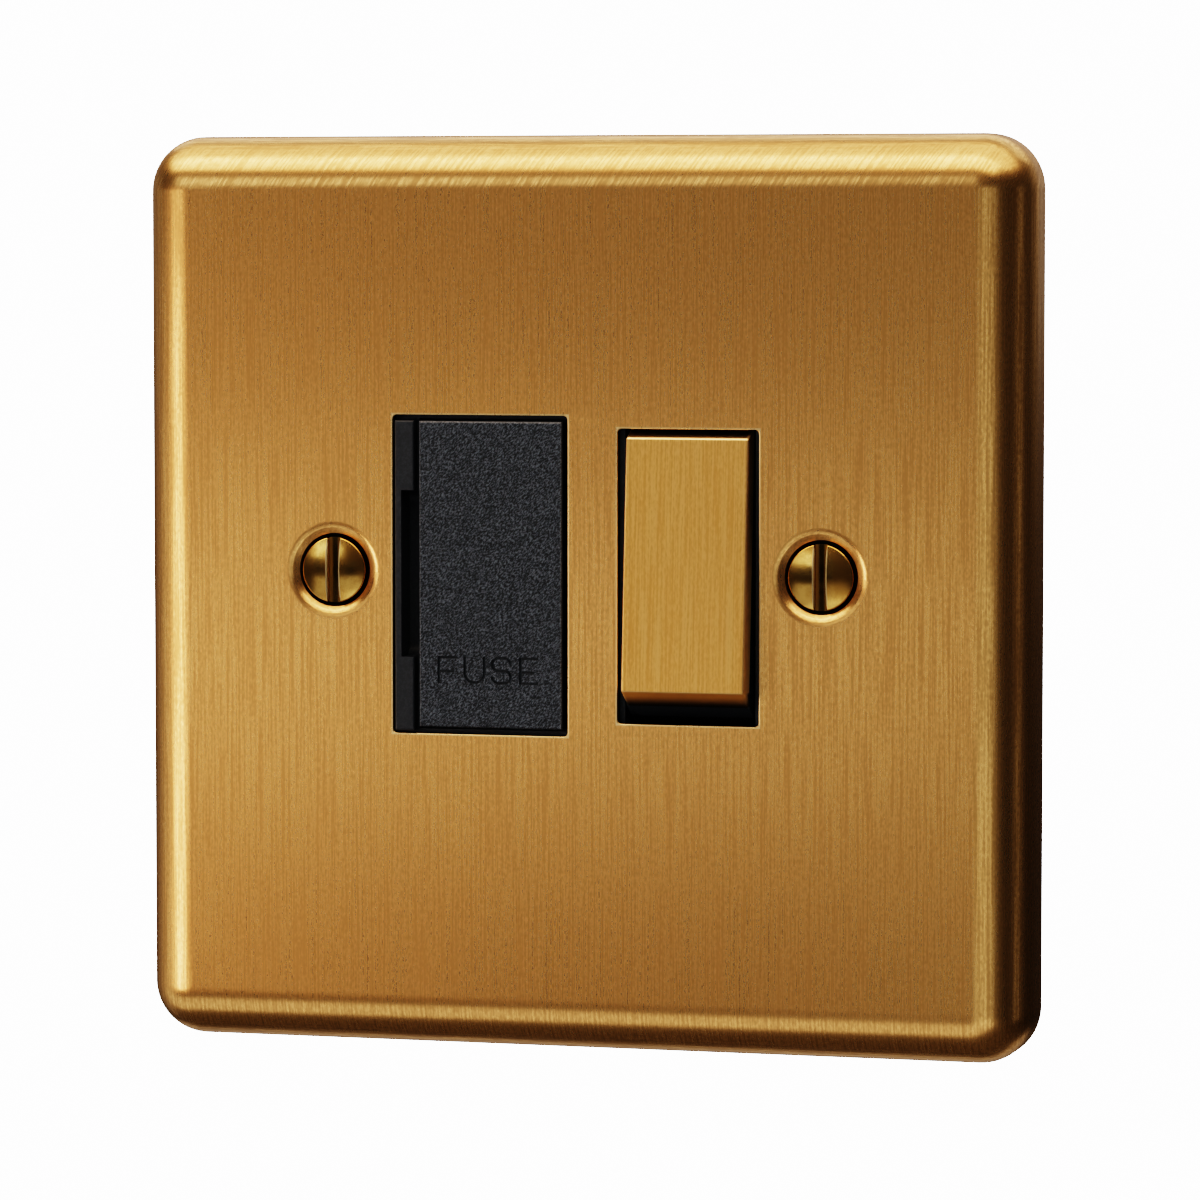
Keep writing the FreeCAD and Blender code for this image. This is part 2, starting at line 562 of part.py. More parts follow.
# Rocker, its parts placed about the pivot
def tipped(shape):
    shape.rotate(FreeCAD.Vector(0, 0, 0), X_AXIS, -ROCKER_TILT)
    shape.translate(FreeCAD.Vector(ROCKER_X, PIVOT_Y, PIVOT_Z))
    return shape


def flared(front_y, back_y, half_width, inset):
    front_z = ROCKER_HALF_LENGTH + (front_y - ROCKER_FACE_Y) * FLARE - inset
    back_z = ROCKER_HALF_LENGTH + (back_y - ROCKER_FACE_Y) * FLARE - inset
    outline = [(front_y, -front_z), (front_y, front_z), (back_y, back_z), (back_y, -back_z)]
    return side_prism(outline, (-half_width, half_width))


cap_back = ROCKER_FACE_Y + CAP_SIDE
skirt_back = cap_back + ROCKER_SKIRT
end_sheet = CAP_SHEET / math.cos(math.radians(ROCKER_FLARE))
cap = flared(ROCKER_FACE_Y, cap_back, ROCKER_HALF_WIDTH, 0)
cap = cap.makeFillet(ROCKER_ROUND, edges_at_y(cap, ROCKER_FACE_Y))
core = flared(ROCKER_FACE_Y + CAP_SHEET, cap_back, ROCKER_HALF_WIDTH - CAP_SHEET, end_sheet)
save("rocker_cap", tipped(cap.cut(core)))
body = core.fuse([
    flared(cap_back, skirt_back, ROCKER_HALF_WIDTH, 0),
    box((-STEM_HALF_WIDTH, STEM_HALF_WIDTH), (skirt_back, STEM_BACK),
        (-STEM_HALF_HEIGHT, STEM_HALF_HEIGHT)),
    round_x(PIN_R, 0, 0, (-PIN_REACH, PIN_REACH)),
    round_y(TUBE_R, -POLE_OFFSET, 0, (0, TUBE_BACK)),
    round_y(TUBE_R, POLE_OFFSET, 0, (0, TUBE_BACK))])
for x in (-POLE_OFFSET, POLE_OFFSET):
    body = body.cut(round_y(TUBE_BORE_R, x, 0, (TUBE_BORE_FRONT, TUBE_BACK)))
save("rocker_body", tipped(body))

# Plungers and their springs, in the rocker's two tubes
spring_run = PLUNGER_FRONT - TUBE_BORE_FRONT
coil_run = spring_run - 2 * SPRING_WIRE_R
for side, pole in ((-1, "live"), (1, "neutral")):
    x = side * POLE_OFFSET
    plunger = round_y(PLUNGER_R, x, 0, (PLUNGER_FRONT, PLUNGER_TIP - PLUNGER_R))
    plunger = plunger.fuse(Part.makeSphere(
        PLUNGER_R, FreeCAD.Vector(x, PLUNGER_TIP - PLUNGER_R, 0)))
    save("plunger_" + pole, tipped(plunger))
    path = Part.makeHelix(coil_run / SPRING_TURNS, coil_run, SPRING_R)
    ring = Part.Wire(Part.makeCircle(SPRING_WIRE_R, FreeCAD.Vector(SPRING_R, 0, 0), Y_AXIS))
    spring = Part.Wire(path).makePipeShell([ring], True, True)
    spring.rotate(FreeCAD.Vector(0, 0, 0), X_AXIS, -90)
    spring.translate(FreeCAD.Vector(x, TUBE_BORE_FRONT + SPRING_WIRE_R, 0))
    save("plunger_spring_" + pole, tipped(spring))

# Contact bars at OFF, and the strips they work against
for x, pole in ((LIVE_X, "live"), (NEUTRAL_X, "neutral")):
    half = (-BAR_HALF_WIDTH, BAR_HALF_WIDTH)
    bar = box(half, (BAR_FRONT, BAR_BACK), (-BAR_HALF_LENGTH, BAR_HALF_LENGTH))
    bar = bar.cut(round_x(BAR_GROOVE_R, 0, 0, half))
    bar = bar.fuse(box((-TIP_HALF_WIDTH, TIP_HALF_WIDTH), (BAR_BACK, TIP_BACK),
                       (TIP_START, TIP_END)))
    bar.rotate(FreeCAD.Vector(0, 0, 0), X_AXIS, ROCKER_TILT)
    bar.translate(FreeCAD.Vector(x, BAR_AXIS_Y, PIVOT_Z))
    save("see_saw_" + pole, bar)
    wide = (x - BAR_HALF_WIDTH, x + BAR_HALF_WIDTH)
    fulcrum = box(wide, (STRIP_Y, FLOOR_Y), (-TERMINAL_INNER, FULCRUM_TOP))
    fulcrum = fulcrum.fuse([
        box(wide, (BAR_AXIS_Y, STRIP_Y), (PIVOT_Z - FULCRUM_R, PIVOT_Z + FULCRUM_R)),
        round_x(FULCRUM_R, BAR_AXIS_Y, PIVOT_Z, wide)])
    save("fulcrum_" + pole, fulcrum)
    reach = LIVE_ARM_TOP if pole == "live" else TERMINAL_INNER
    fixed = box(wide, (STRIP_Y, FLOOR_Y), (FIXED_START, reach))
    fixed = fixed.fuse(box((x - TIP_HALF_WIDTH, x + TIP_HALF_WIDTH), (FIXED_TIP_Y, STRIP_Y),
                           (FIXED_TIP_START, FIXED_TIP_END)))
    if pole == "live":
        fixed = fixed.fuse(box((LIVE_ARM_LEFT, wide[1]), (STRIP_Y, FLOOR_Y),
                               (LIVE_ARM_BOTTOM, LIVE_ARM_TOP)))
    save("fixed_contact_" + pole, fixed)

# Terminals: brass block with a blind wire hole and a slotted clamp screw
terminals = {
    "load_live": (FUSE_X, -1),
    "supply_live": (LIVE_X, -1),
    "supply_neutral": (NEUTRAL_X, -1),
    "load_neutral": (NEUTRAL_X, 1),
    "earth": (EARTH_X, 1),
}
cells = []
for name, (x, side) in terminals.items():
    half = TERMINAL_WIDTH / 2
    span_z = sorted((side * TERMINAL_INNER, side * TERMINAL_OUTER))
    mid_z = side * (TERMINAL_INNER + TERMINAL_OUTER) / 2
    block = box((x - half, x + half), (TERMINAL_FRONT, TERMINAL_BACK), span_z)
    block = block.cut([
        round_z(WIRE_R, x, WIRE_Y, sorted((side * (TERMINAL_OUTER - WIRE_DEPTH), side * TERMINAL_OUTER))),
        round_y(CLAMP_R, x, mid_z, (CLAMP_FRONT, TERMINAL_BACK))])
    save(name + "_terminal", block)
    clamp = round_y(CLAMP_R, x, mid_z, (CLAMP_FRONT, CLAMP_BACK))
    clamp = clamp.cut(box((x - CLAMP_R, x + CLAMP_R),
                          (CLAMP_BACK - CLAMP_SLOT_DEPTH, CLAMP_BACK),
                          (mid_z - CLAMP_SLOT_WIDTH / 2, mid_z + CLAMP_SLOT_WIDTH / 2)))
    save(name + "_clamp_screw", clamp)
    cells.append(box((x - half - CELL_GAP, x + half + CELL_GAP), (TERMINAL_FRONT, BASE_BACK),
                     (span_z[0] - CELL_GAP, span_z[1] + CELL_GAP)))
    cells.append(round_z(WIRE_HOLE_R, x, WIRE_Y,
                         sorted((side * TERMINAL_OUTER, side * (BODY_HALF_HEIGHT + 1)))))

# Rear moulding: chambers for the switch and jaws, cells for the terminals
jaw_half = FUSE_CAP_R + JAW_GAP + JAW_SHEET + CELL_GAP
base_span = (SPLIT_Y, JAW_BASE_Y + JAW_BASE_SHEET)
base = box((-BODY_HALF_WIDTH, BODY_HALF_WIDTH), (SPLIT_Y, BASE_BACK),
           (-BODY_HALF_HEIGHT, BODY_HALF_HEIGHT))
base = base.cut([
    box((FUSE_X - jaw_half, FUSE_X + jaw_half), base_span,
        (-foot_outer - CELL_GAP, foot_outer + CELL_GAP)),
    box((CHAMBER_LEFT, CHAMBER_RIGHT), (SPLIT_Y, FLOOR_Y), (CHAMBER_BOTTOM, CHAMBER_TOP)),
    box((LIVE_ARM_LEFT - CELL_GAP, LIVE_X + BAR_HALF_WIDTH + CELL_GAP), (SPLIT_Y, FLOOR_Y),
        (LIVE_ARM_BOTTOM - CELL_GAP, LIVE_ARM_TOP + CELL_GAP)),
    box((LIVE_X - BAR_HALF_WIDTH, LIVE_X + BAR_HALF_WIDTH), (SPLIT_Y, FLOOR_Y),
        (CHAMBER_TOP, LIVE_ARM_TOP)),
    box((NEUTRAL_X - BAR_HALF_WIDTH, NEUTRAL_X + BAR_HALF_WIDTH), (STRIP_Y, FLOOR_Y),
        (CHAMBER_TOP, TERMINAL_INNER))])
for x in (LIVE_X, NEUTRAL_X):
    base = base.cut(box((x - BAR_HALF_WIDTH, x + BAR_HALF_WIDTH), (STRIP_Y, FLOOR_Y),
                        (-TERMINAL_INNER, CHAMBER_BOTTOM)))
foot_x = (FUSE_X - JAW_FOOT_HALF_WIDTH - CELL_GAP, FUSE_X + JAW_FOOT_HALF_WIDTH + CELL_GAP)
foot_inner = foot_outer - JAW_FOOT_THICKNESS - CELL_GAP
for side in (-1, 1):
    base = base.cut(box(foot_x, (SPLIT_Y, STRIP_Y),
                        sorted((side * foot_inner, side * (foot_outer + CELL_GAP)))))
base = base.cut(cells)
base = base.fuse(box((ROCKER_X - PARTITION_HALF, ROCKER_X + PARTITION_HALF),
                     (PARTITION_FRONT, FLOOR_Y), (CHAMBER_BOTTOM, CHAMBER_TOP)))
head_y = BASE_BACK - ASSEMBLY_HEAD
for x, z in assembly_spots:
    base = base.cut([
        round_y(ASSEMBLY_R + ASSEMBLY_CLEARANCE, x, z, (SPLIT_Y, head_y)),
        round_y(ASSEMBLY_HEAD_R + ASSEMBLY_CLEARANCE, x, z, (head_y, BASE_BACK))])
for part in strap_parts:
    base = base.cut(part)
save("rear_base", base)

# Screws that join the two mouldings
for number, (x, z) in enumerate(assembly_spots, start=1):
    screw = round_y(ASSEMBLY_R, x, z, (ASSEMBLY_TIP, head_y))
    screw = screw.fuse(round_y(ASSEMBLY_HEAD_R, x, z, (head_y, BASE_BACK)))
    slot_y = (BASE_BACK - ASSEMBLY_SLOT_DEPTH, BASE_BACK)
    screw = screw.cut(box((x - ASSEMBLY_HEAD_R, x + ASSEMBLY_HEAD_R), slot_y,
                          (z - ASSEMBLY_SLOT_WIDTH / 2, z + ASSEMBLY_SLOT_WIDTH / 2)))
    save("assembly_screw_" + str(number), screw)
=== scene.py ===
import json
import math

import bmesh
import bpy
import numpy as np
from mathutils import Euler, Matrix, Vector
from mathutils.geometry import delaunay_2d_cdt


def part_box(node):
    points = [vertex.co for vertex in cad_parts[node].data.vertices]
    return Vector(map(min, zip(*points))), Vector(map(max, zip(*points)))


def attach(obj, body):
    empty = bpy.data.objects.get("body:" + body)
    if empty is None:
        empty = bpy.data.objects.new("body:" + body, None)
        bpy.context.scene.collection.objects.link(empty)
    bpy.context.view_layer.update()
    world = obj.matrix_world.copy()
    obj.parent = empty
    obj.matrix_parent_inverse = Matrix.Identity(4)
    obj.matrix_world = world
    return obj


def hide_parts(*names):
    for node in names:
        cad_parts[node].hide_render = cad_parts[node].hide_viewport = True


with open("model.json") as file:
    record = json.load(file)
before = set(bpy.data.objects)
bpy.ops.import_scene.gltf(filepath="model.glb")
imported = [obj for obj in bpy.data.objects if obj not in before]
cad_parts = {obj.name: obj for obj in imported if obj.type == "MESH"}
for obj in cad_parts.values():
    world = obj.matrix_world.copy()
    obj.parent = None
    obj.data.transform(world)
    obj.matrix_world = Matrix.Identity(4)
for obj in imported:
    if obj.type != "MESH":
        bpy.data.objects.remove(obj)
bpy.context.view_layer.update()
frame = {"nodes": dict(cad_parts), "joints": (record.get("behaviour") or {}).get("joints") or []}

MM = 0.001

# The camera stands a little to the right of the unit and above it, with a long lens,
# as it did for the photograph.
CAMERA_PLACE = (180.85 * MM, -649.83 * MM, 39.90 * MM)
CAMERA_AZIMUTH = 15.513
CAMERA_PITCH = 3.702
CAMERA_LENS = 167.6
CAMERA_SENSOR = 36
camera_data = bpy.data.cameras.new("camera")
camera_data.lens = CAMERA_LENS
camera_data.sensor_width = CAMERA_SENSOR
camera = bpy.data.objects.new("camera", camera_data)
camera.location = CAMERA_PLACE
camera.rotation_euler = Euler((math.radians(90 - CAMERA_PITCH), 0, math.radians(CAMERA_AZIMUTH)))
bpy.context.collection.objects.link(camera)
bpy.context.scene.camera = camera

# Wall plate: one brass sheet, pressed into a shallow tray with a rolled rim. Two windows are
# punched through it and two round seats are pressed in for the screw heads. It is brushed
# upright, lacquered, and held by the two fixing screws.
PLATE_SHEET = 1.2 * MM
PLATE_CORNER = 6.6 * MM
PLATE_ROLL = 6.5 * MM
PLATE_HEM_ROUND = 0.15 * MM
ROLL_LEAN = 0.55
WINDOW_CORNER = 0.5 * MM
WINDOW_BEVEL = 0.15 * MM
WINDOWS = {"fuse": ((-22.6 * MM, -0.8 * MM), (-19.5 * MM, 18.8 * MM)),
           "rocker": ((5.4 * MM, 22.7 * MM), (-17.8 * MM, 17.35 * MM))}
SEAT_SHOULDER_IN = 4.425 * MM
SEAT_SHOULDER_ROUND = 1.5 * MM
SEAT_SLOPE = math.radians(33)
SEAT_DROP = 0.65 * MM
SEAT_WALL = 0.3 * MM
SEAT_HOLE = 1.9 * MM
SEAT_DEPTH = 4.2 * MM
SEAT_BACK = 3.2 * MM
SEAT_BACK_SLOPE = 1.0 * MM
RIM_SIDE_STEPS = 12
RIM_CORNER_STEPS = 17
ROLL_STEPS = 19
HEM_STEPS = 9
WINDOW_SIDE_STEPS = 8
WINDOW_CORNER_STEPS = 7
EASE_STEPS = 5
SEAT_STEPS = 96
SHOULDER_STEPS = 9
CREASE_ANGLE = math.radians(40)
WELD = 0.002 * MM
SAME_SPOT = 1e-9
INSIDE_ONLY = 1


def side_path(half_x, half_z, corner, per_side, per_corner):
    """Closed path round a rectangle with round corners: the corner centres and straight sides
    give the places, and the outward directions turn a quarter at each corner."""
    core = np.array([half_x - corner, half_z - corner])
    turns = np.arange(4)
    starts = turns * np.pi / 2
    angles = (starts[:, None] + np.linspace(0, np.pi / 2, per_corner)[None, :]).ravel()
    signs = np.array([[1, 1], [-1, 1], [-1, -1], [1, -1]])
    centres = np.repeat(signs * core, per_corner, axis=0)
    outward = np.stack([np.cos(angles), np.sin(angles)], axis=1)
    share = np.linspace(0, 1, per_side, endpoint=False)[1:]
    places = []
    directions = []
    for turn in range(4):
        part = slice(turn * per_corner, (turn + 1) * per_corner)
        places.append(centres[part])
        directions.append(outward[part])
        here = centres[part][-1]
        after = signs[(turn + 1) % 4] * core
        places.append(here + share[:, None] * (after - here))
        directions.append(np.repeat(outward[part][-1:], len(share), axis=0))
    return np.concatenate(places), np.concatenate(directions)


def carried(places, directions, reach, depth):
    """Profile carried along a path: each point is the path's place plus its outward direction
    times the profile's reach, at the profile's depth. Rows follow the profile."""
    flat = places[None, :, :] + directions[None, :, :] * np.asarray(reach)[:, None, None]
    level = np.broadcast_to(np.asarray(depth)[:, None], flat.shape[:2])
    return np.stack([flat[:, :, 0], level, flat[:, :, 1]], axis=2)


def ring_faces(rows, columns):
    """Four-cornered faces between neighbouring rows of a grid that closes on itself."""
    row, column = np.meshgrid(np.arange(rows - 1), np.arange(columns), indexing="ij")
    after = (column + 1) % columns
    corners = [row * columns + column, row * columns + after,
               (row + 1) * columns + after, (row + 1) * columns + column]
    return np.stack(corners, axis=2).reshape(-1, 4)


def brushing_along(places, directions, reach, depth, lean=0.0):
    """Brushing map of a carried profile, in millimetres: the path's first spot plus its outward
    direction times the length walked along the profile. With a lean, the streaks slant where
    the path faces up, by the lean times that length."""
    step = np.hypot(np.diff(reach), np.diff(depth))
    walked = np.concatenate([[0], np.cumsum(step)])[:, None, None]
    spots = places[None, :, :] + directions[None, :, :] * (np.asarray(reach)[0] + walked)
    spots[:, :, 0] -= lean * (walked * np.maximum(directions[None, :, 1:], 0))[:, :, 0]
    return spots / MM


def within(spots, loop):
    """True where a spot lies inside a bulging loop: on the left of each of its edges, which the
    sign of the cross product of the edge and the way to the spot tells."""
    edge = np.roll(loop, -1, axis=0) - loop
    away = spots[:, None, :] - loop[None, :, :]
    side = edge[None, :, 0] * away[:, :, 1] - edge[None, :, 1] * away[:, :, 0]
    return (side > 0).all(axis=1)


def sheet_between(outline, holes, depth):
    """Flat triangles between an outline and its holes, at one depth. A triangle belongs to a
    hole when its middle lies inside the hole's loop."""
    loops = [outline] + holes
    points = np.concatenate(loops)
    edges = []
    start = 0
    for loop in loops:
        count = len(loop)
        edges += [(start + step, start + (step + 1) % count) for step in range(count)]
        start += count
    spots, _, faces, _, _, _ = delaunay_2d_cdt([Vector(spot) for spot in points.tolist()],
                                               edges, [], INSIDE_ONLY, SAME_SPOT)
    spots = np.array([tuple(spot) for spot in spots])
    faces = np.array(faces)
    middles = spots[faces].mean(axis=1)
    faces = faces[~np.any([within(middles, hole) for hole in holes], axis=0)]
    points = np.stack([spots[:, 0], np.full(len(spots), depth), spots[:, 1]], axis=1)
    return points, faces, spots / MM


def closed_piece(name, parts):
    """One closed mesh from several grids, each its points, faces and brushing map, welded and
    turned outwards. The map says where each point lies on the brushed sheet, in millimetres."""
    points = np.concatenate([places.reshape(-1, 3) for places, _, _ in parts])
    brushing = np.concatenate([spots.reshape(-1, 2) for _, _, spots in parts])
    faces = []
    start = 0
    for places, corners, _ in parts:
        faces += [tuple(start + corner for corner in face) for face in np.asarray(corners).tolist()]
        start += places.reshape(-1, 3).shape[0]
    mesh = bpy.data.meshes.new(name)
    mesh.from_pydata(points.tolist(), [], faces)
    corner_points = np.empty(len(mesh.loops), dtype=np.int32)
    mesh.loops.foreach_get("vertex_index", corner_points)
    layer = mesh.uv_layers.new(name="brushing")
    layer.uv.foreach_set("vector", brushing[corner_points].astype(np.float32).ravel())
    shell = bmesh.new()
    shell.from_mesh(mesh)
    bmesh.ops.remove_doubles(shell, verts=shell.verts, dist=WELD)
    bmesh.ops.dissolve_degenerate(shell, edges=shell.edges, dist=WELD)
    bmesh.ops.recalc_face_normals(shell, faces=shell.faces)
    shell.to_mesh(mesh)
    shell.free()
    mesh.shade_smooth()
    mesh.set_sharp_from_angle(angle=CREASE_ANGLE)
    piece = bpy.data.objects.new(name, mesh)
    bpy.context.collection.objects.link(piece)
    weighted = piece.modifiers.new("flat faces stay flat", "WEIGHTED_NORMAL")
    weighted.keep_sharp = True
    return piece


plate_low, plate_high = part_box("front_plate")
plate_half = (plate_high[0] - plate_low[0]) / 2
plate_middle = (plate_high[2] + plate_low[2]) / 2
face_y = plate_low[1]
sheet_back_y = face_y + PLATE_SHEET
rim_places, rim_directions = side_path(plate_half, plate_half, PLATE_CORNER,
                                       RIM_SIDE_STEPS, RIM_CORNER_STEPS)
rim_places = rim_places + np.array([0, plate_middle])
roll = np.linspace(0, np.pi / 2, ROLL_STEPS)
inner_roll = PLATE_ROLL - PLATE_SHEET
hem = np.linspace(0, np.pi, HEM_STEPS)
half_sheet = PLATE_SHEET / 2
# Rim profile: a quarter turn from the face back to the wall, half a turn round the sheet's
# edge, and the same quarter turn inside, one sheet smaller.
rim_reach = np.concatenate([
    PLATE_CORNER - PLATE_ROLL * (1 - np.sin(roll)),
    PLATE_CORNER - half_sheet + half_sheet * np.cos(hem),
    PLATE_CORNER - PLATE_ROLL + inner_roll * np.sin(roll[::-1])])
rim_depth = np.concatenate([
    face_y + PLATE_ROLL * (1 - np.cos(roll)),
    -PLATE_HEM_ROUND + PLATE_HEM_ROUND * np.sin(hem),
    face_y + PLATE_ROLL - inner_roll * np.cos(roll[::-1])])
rim = carried(rim_places, rim_directions, rim_reach, rim_depth)
plate_parts = [(rim, ring_faces(*rim.shape[:2]),
                brushing_along(rim_places, rim_directions, rim_reach, rim_depth, ROLL_LEAN))]
window_loops = {face_y: [], sheet_back_y: []}
ease = np.linspace(0, np.pi / 2, EASE_STEPS)
# Window profile: a quarter turn over the front edge, a straight wall and a broken back edge.
for (left, right), (bottom, top) in WINDOWS.values():
    places, directions = side_path((right - left) / 2, (top - bottom) / 2, WINDOW_CORNER,
                                   WINDOW_SIDE_STEPS, WINDOW_CORNER_STEPS)
    places = places + np.array([(left + right) / 2, (bottom + top) / 2])
    reach = np.concatenate([WINDOW_CORNER + WINDOW_BEVEL * (1 - np.sin(ease)),
                            [WINDOW_CORNER, WINDOW_CORNER + WINDOW_BEVEL / 2]])
    depth = np.concatenate([face_y + WINDOW_BEVEL * (1 - np.cos(ease)),
                            [sheet_back_y - WINDOW_BEVEL / 2, sheet_back_y]])
    wall = carried(places, directions, reach, depth)
    plate_parts.append((wall, ring_faces(*wall.shape[:2]),
                        brushing_along(places, directions, reach, depth)))
    window_loops[face_y].append(wall[0][:, [0, 2]])
    window_loops[sheet_back_y].append(wall[-1][:, [0, 2]])
turn_angles = np.linspace(0, 2 * np.pi, SEAT_STEPS, endpoint=False)
around = np.stack([np.cos(turn_angles), np.sin(turn_angles)], axis=1)
shoulder = np.linspace(0, SEAT_SLOPE, SHOULDER_STEPS)
round_drop = SEAT_SHOULDER_ROUND * (1 - math.cos(SEAT_SLOPE))
shoulder_end = SEAT_SHOULDER_IN + (SEAT_DROP - round_drop) / math.tan(SEAT_SLOPE)
shoulder_out = shoulder_end + SEAT_SHOULDER_ROUND * math.sin(SEAT_SLOPE)
seat_bottom = face_y + SEAT_DEPTH
seat_wall_y = face_y + SEAT_DROP + SEAT_WALL
hole_y = seat_wall_y + SEAT_SHOULDER_IN - SEAT_HOLE
# Seat profile: a rounded shoulder, a slope, a short wall, a cone under the screw's head, the
# screw's hole, and back out behind the sheet.
seat_reach = np.concatenate([
    shoulder_out - SEAT_SHOULDER_ROUND * np.sin(shoulder),
    [SEAT_SHOULDER_IN, SEAT_SHOULDER_IN, SEAT_HOLE, SEAT_HOLE, SEAT_BACK, SEAT_BACK + SEAT_BACK_SLOPE,
     shoulder_out]])
seat_depth = np.concatenate([
    face_y + SEAT_SHOULDER_ROUND * (1 - np.cos(shoulder)),
    [face_y + SEAT_DROP, seat_wall_y, hole_y, seat_bottom, seat_bottom,
     seat_bottom - SEAT_BACK_SLOPE, sheet_back_y]])
screws = ("fixing_screw_left", "fixing_screw_right")
seat_centres = []
for screw in screws:
    low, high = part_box(screw)
    centre = np.array([(low[0] + high[0]) / 2, (low[2] + high[2]) / 2])
    seat_centres.append(centre)
    seat = carried(np.broadcast_to(centre, around.shape), around, seat_reach, seat_depth)
    seat_map = np.broadcast_to(np.stack(np.meshgrid(
        shoulder_out * turn_angles, seat_reach), axis=2)[:, :, ::-1], seat.shape[:2] + (2,))
    plate_parts.append((seat, ring_faces(*seat.shape[:2]), seat_map / MM))
    for level in window_loops:
        window_loops[level].append(centre + around * shoulder_out)
for level, loops in window_loops.items():
    row = rim[0] if level == face_y else rim[-1]
    plate_parts.append(sheet_between(row[:, [0, 2]], loops, level))
plate = closed_piece("brass_plate", plate_parts)


def add_node(tree, kind, inputs=(), **settings):
    """New node: inputs pairs a socket's name or number with a value or another socket."""
    node = tree.nodes.new("ShaderNode" + kind)
    for name, value in settings.items():
        setattr(node, name, value)
    for name, value in dict(inputs).items():
        if isinstance(value, bpy.types.NodeSocket):
            tree.links.new(value, node.inputs[name])
        else:
            node.inputs[name].default_value = value
    return node


def arithmetic(tree, operation, first, second=0.0, third=0.0):
    pairs = {0: first, 1: second, 2: third}
    return add_node(tree, "Math", pairs, operation=operation).outputs[0]


def ramp(tree, value, low, high, out_low=0.0, out_high=1.0):
    """Smooth step from one output level to another as the value goes from low to high."""
    node = add_node(tree, "MapRange", {"Value": value, "From Min": low, "From Max": high,
                                       "To Min": out_low, "To Max": out_high},
                    interpolation_type="SMOOTHSTEP")
    return node.outputs["Result"]


def shader_group(name, inputs, outputs):
    """Empty node group with its sockets; returns the tree and its two end nodes."""
    tree = bpy.data.node_groups.new(name, "ShaderNodeTree")
    for socket, kind in inputs.items():
        tree.interface.new_socket(socket, in_out="INPUT", socket_type="NodeSocket" + kind)
    for socket, kind in outputs.items():
        tree.interface.new_socket(socket, in_out="OUTPUT", socket_type="NodeSocket" + kind)
    return tree, tree.nodes.new("NodeGroupInput"), tree.nodes.new("NodeGroupOutput")


def blank_material(name):
    """Material with one shader, its object coordinates, and its tree."""
    material = bpy.data.materials.new(name)
    material.use_nodes = True
    tree = material.node_tree
    place = add_node(tree, "TexCoord").outputs["Object"]
    return material, tree, tree.nodes["Principled BSDF"], place


# Brush marks: long fine scratches, broken up by short worm-like grain.
STREAK_SHARE = 0.70
STREAK_DETAIL = 3.0
GRAIN_DETAIL = 1.0
FINER_SHARE = 0.6
brush_tree, brush_in, brush_out = shader_group(
    "brush marks", {"Vector": "Vector", "Streak": "Vector", "Grain": "Vector"},
    {"Marks": "Float"})


def marks_along(stretch, detail):
    """Noise drawn out along one way."""
    stretched = add_node(brush_tree, "VectorMath", {0: brush_in.outputs["Vector"],
                                                    1: brush_in.outputs[stretch]},
                         operation="MULTIPLY").outputs[0]
    return add_node(brush_tree, "TexNoise", {"Vector": stretched, "Scale": 1.0, "Detail": detail,
                                             "Roughness": FINER_SHARE}).outputs["Fac"]


marks = add_node(brush_tree, "Mix", {"Factor": STREAK_SHARE, 2: marks_along("Grain", GRAIN_DETAIL),
                                     3: marks_along("Streak", STREAK_DETAIL)}, data_type="FLOAT")
brush_tree.links.new(marks.outputs[0], brush_out.inputs["Marks"])


def brush_marks(tree, vector, streak, grain):
    """Brush marks on one piece, with its own stretches."""
    node = add_node(tree, "Group", node_tree=brush_tree)
    tree.links.new(vector, node.inputs["Vector"])
    node.inputs["Streak"].default_value = streak
    node.inputs["Grain"].default_value = grain
    return node.outputs["Marks"]


# Brass finishes: the marks' middle range spans the two tones, and the painted shade of recesses
# and the pale painted highlight of edges are the same on the plate and the rocker.
TONE_MARKS = (0.40, 0.60)
DULL_MARKS = (0.3, 0.7)
ROUGH_SWING = 0.05
BRUSHED_SPREAD = 0.5
# Pale brass for painted highlights on edges, dark brass for painted shade in recesses.
PAINTED_HIGHLIGHT_BRASS = (1.0, 0.70, 0.36, 1)
PAINTED_SHADE_BRASS = (0.035, 0.024, 0.014, 1)
PAINTED_SHADE_ROUGH = 0.6


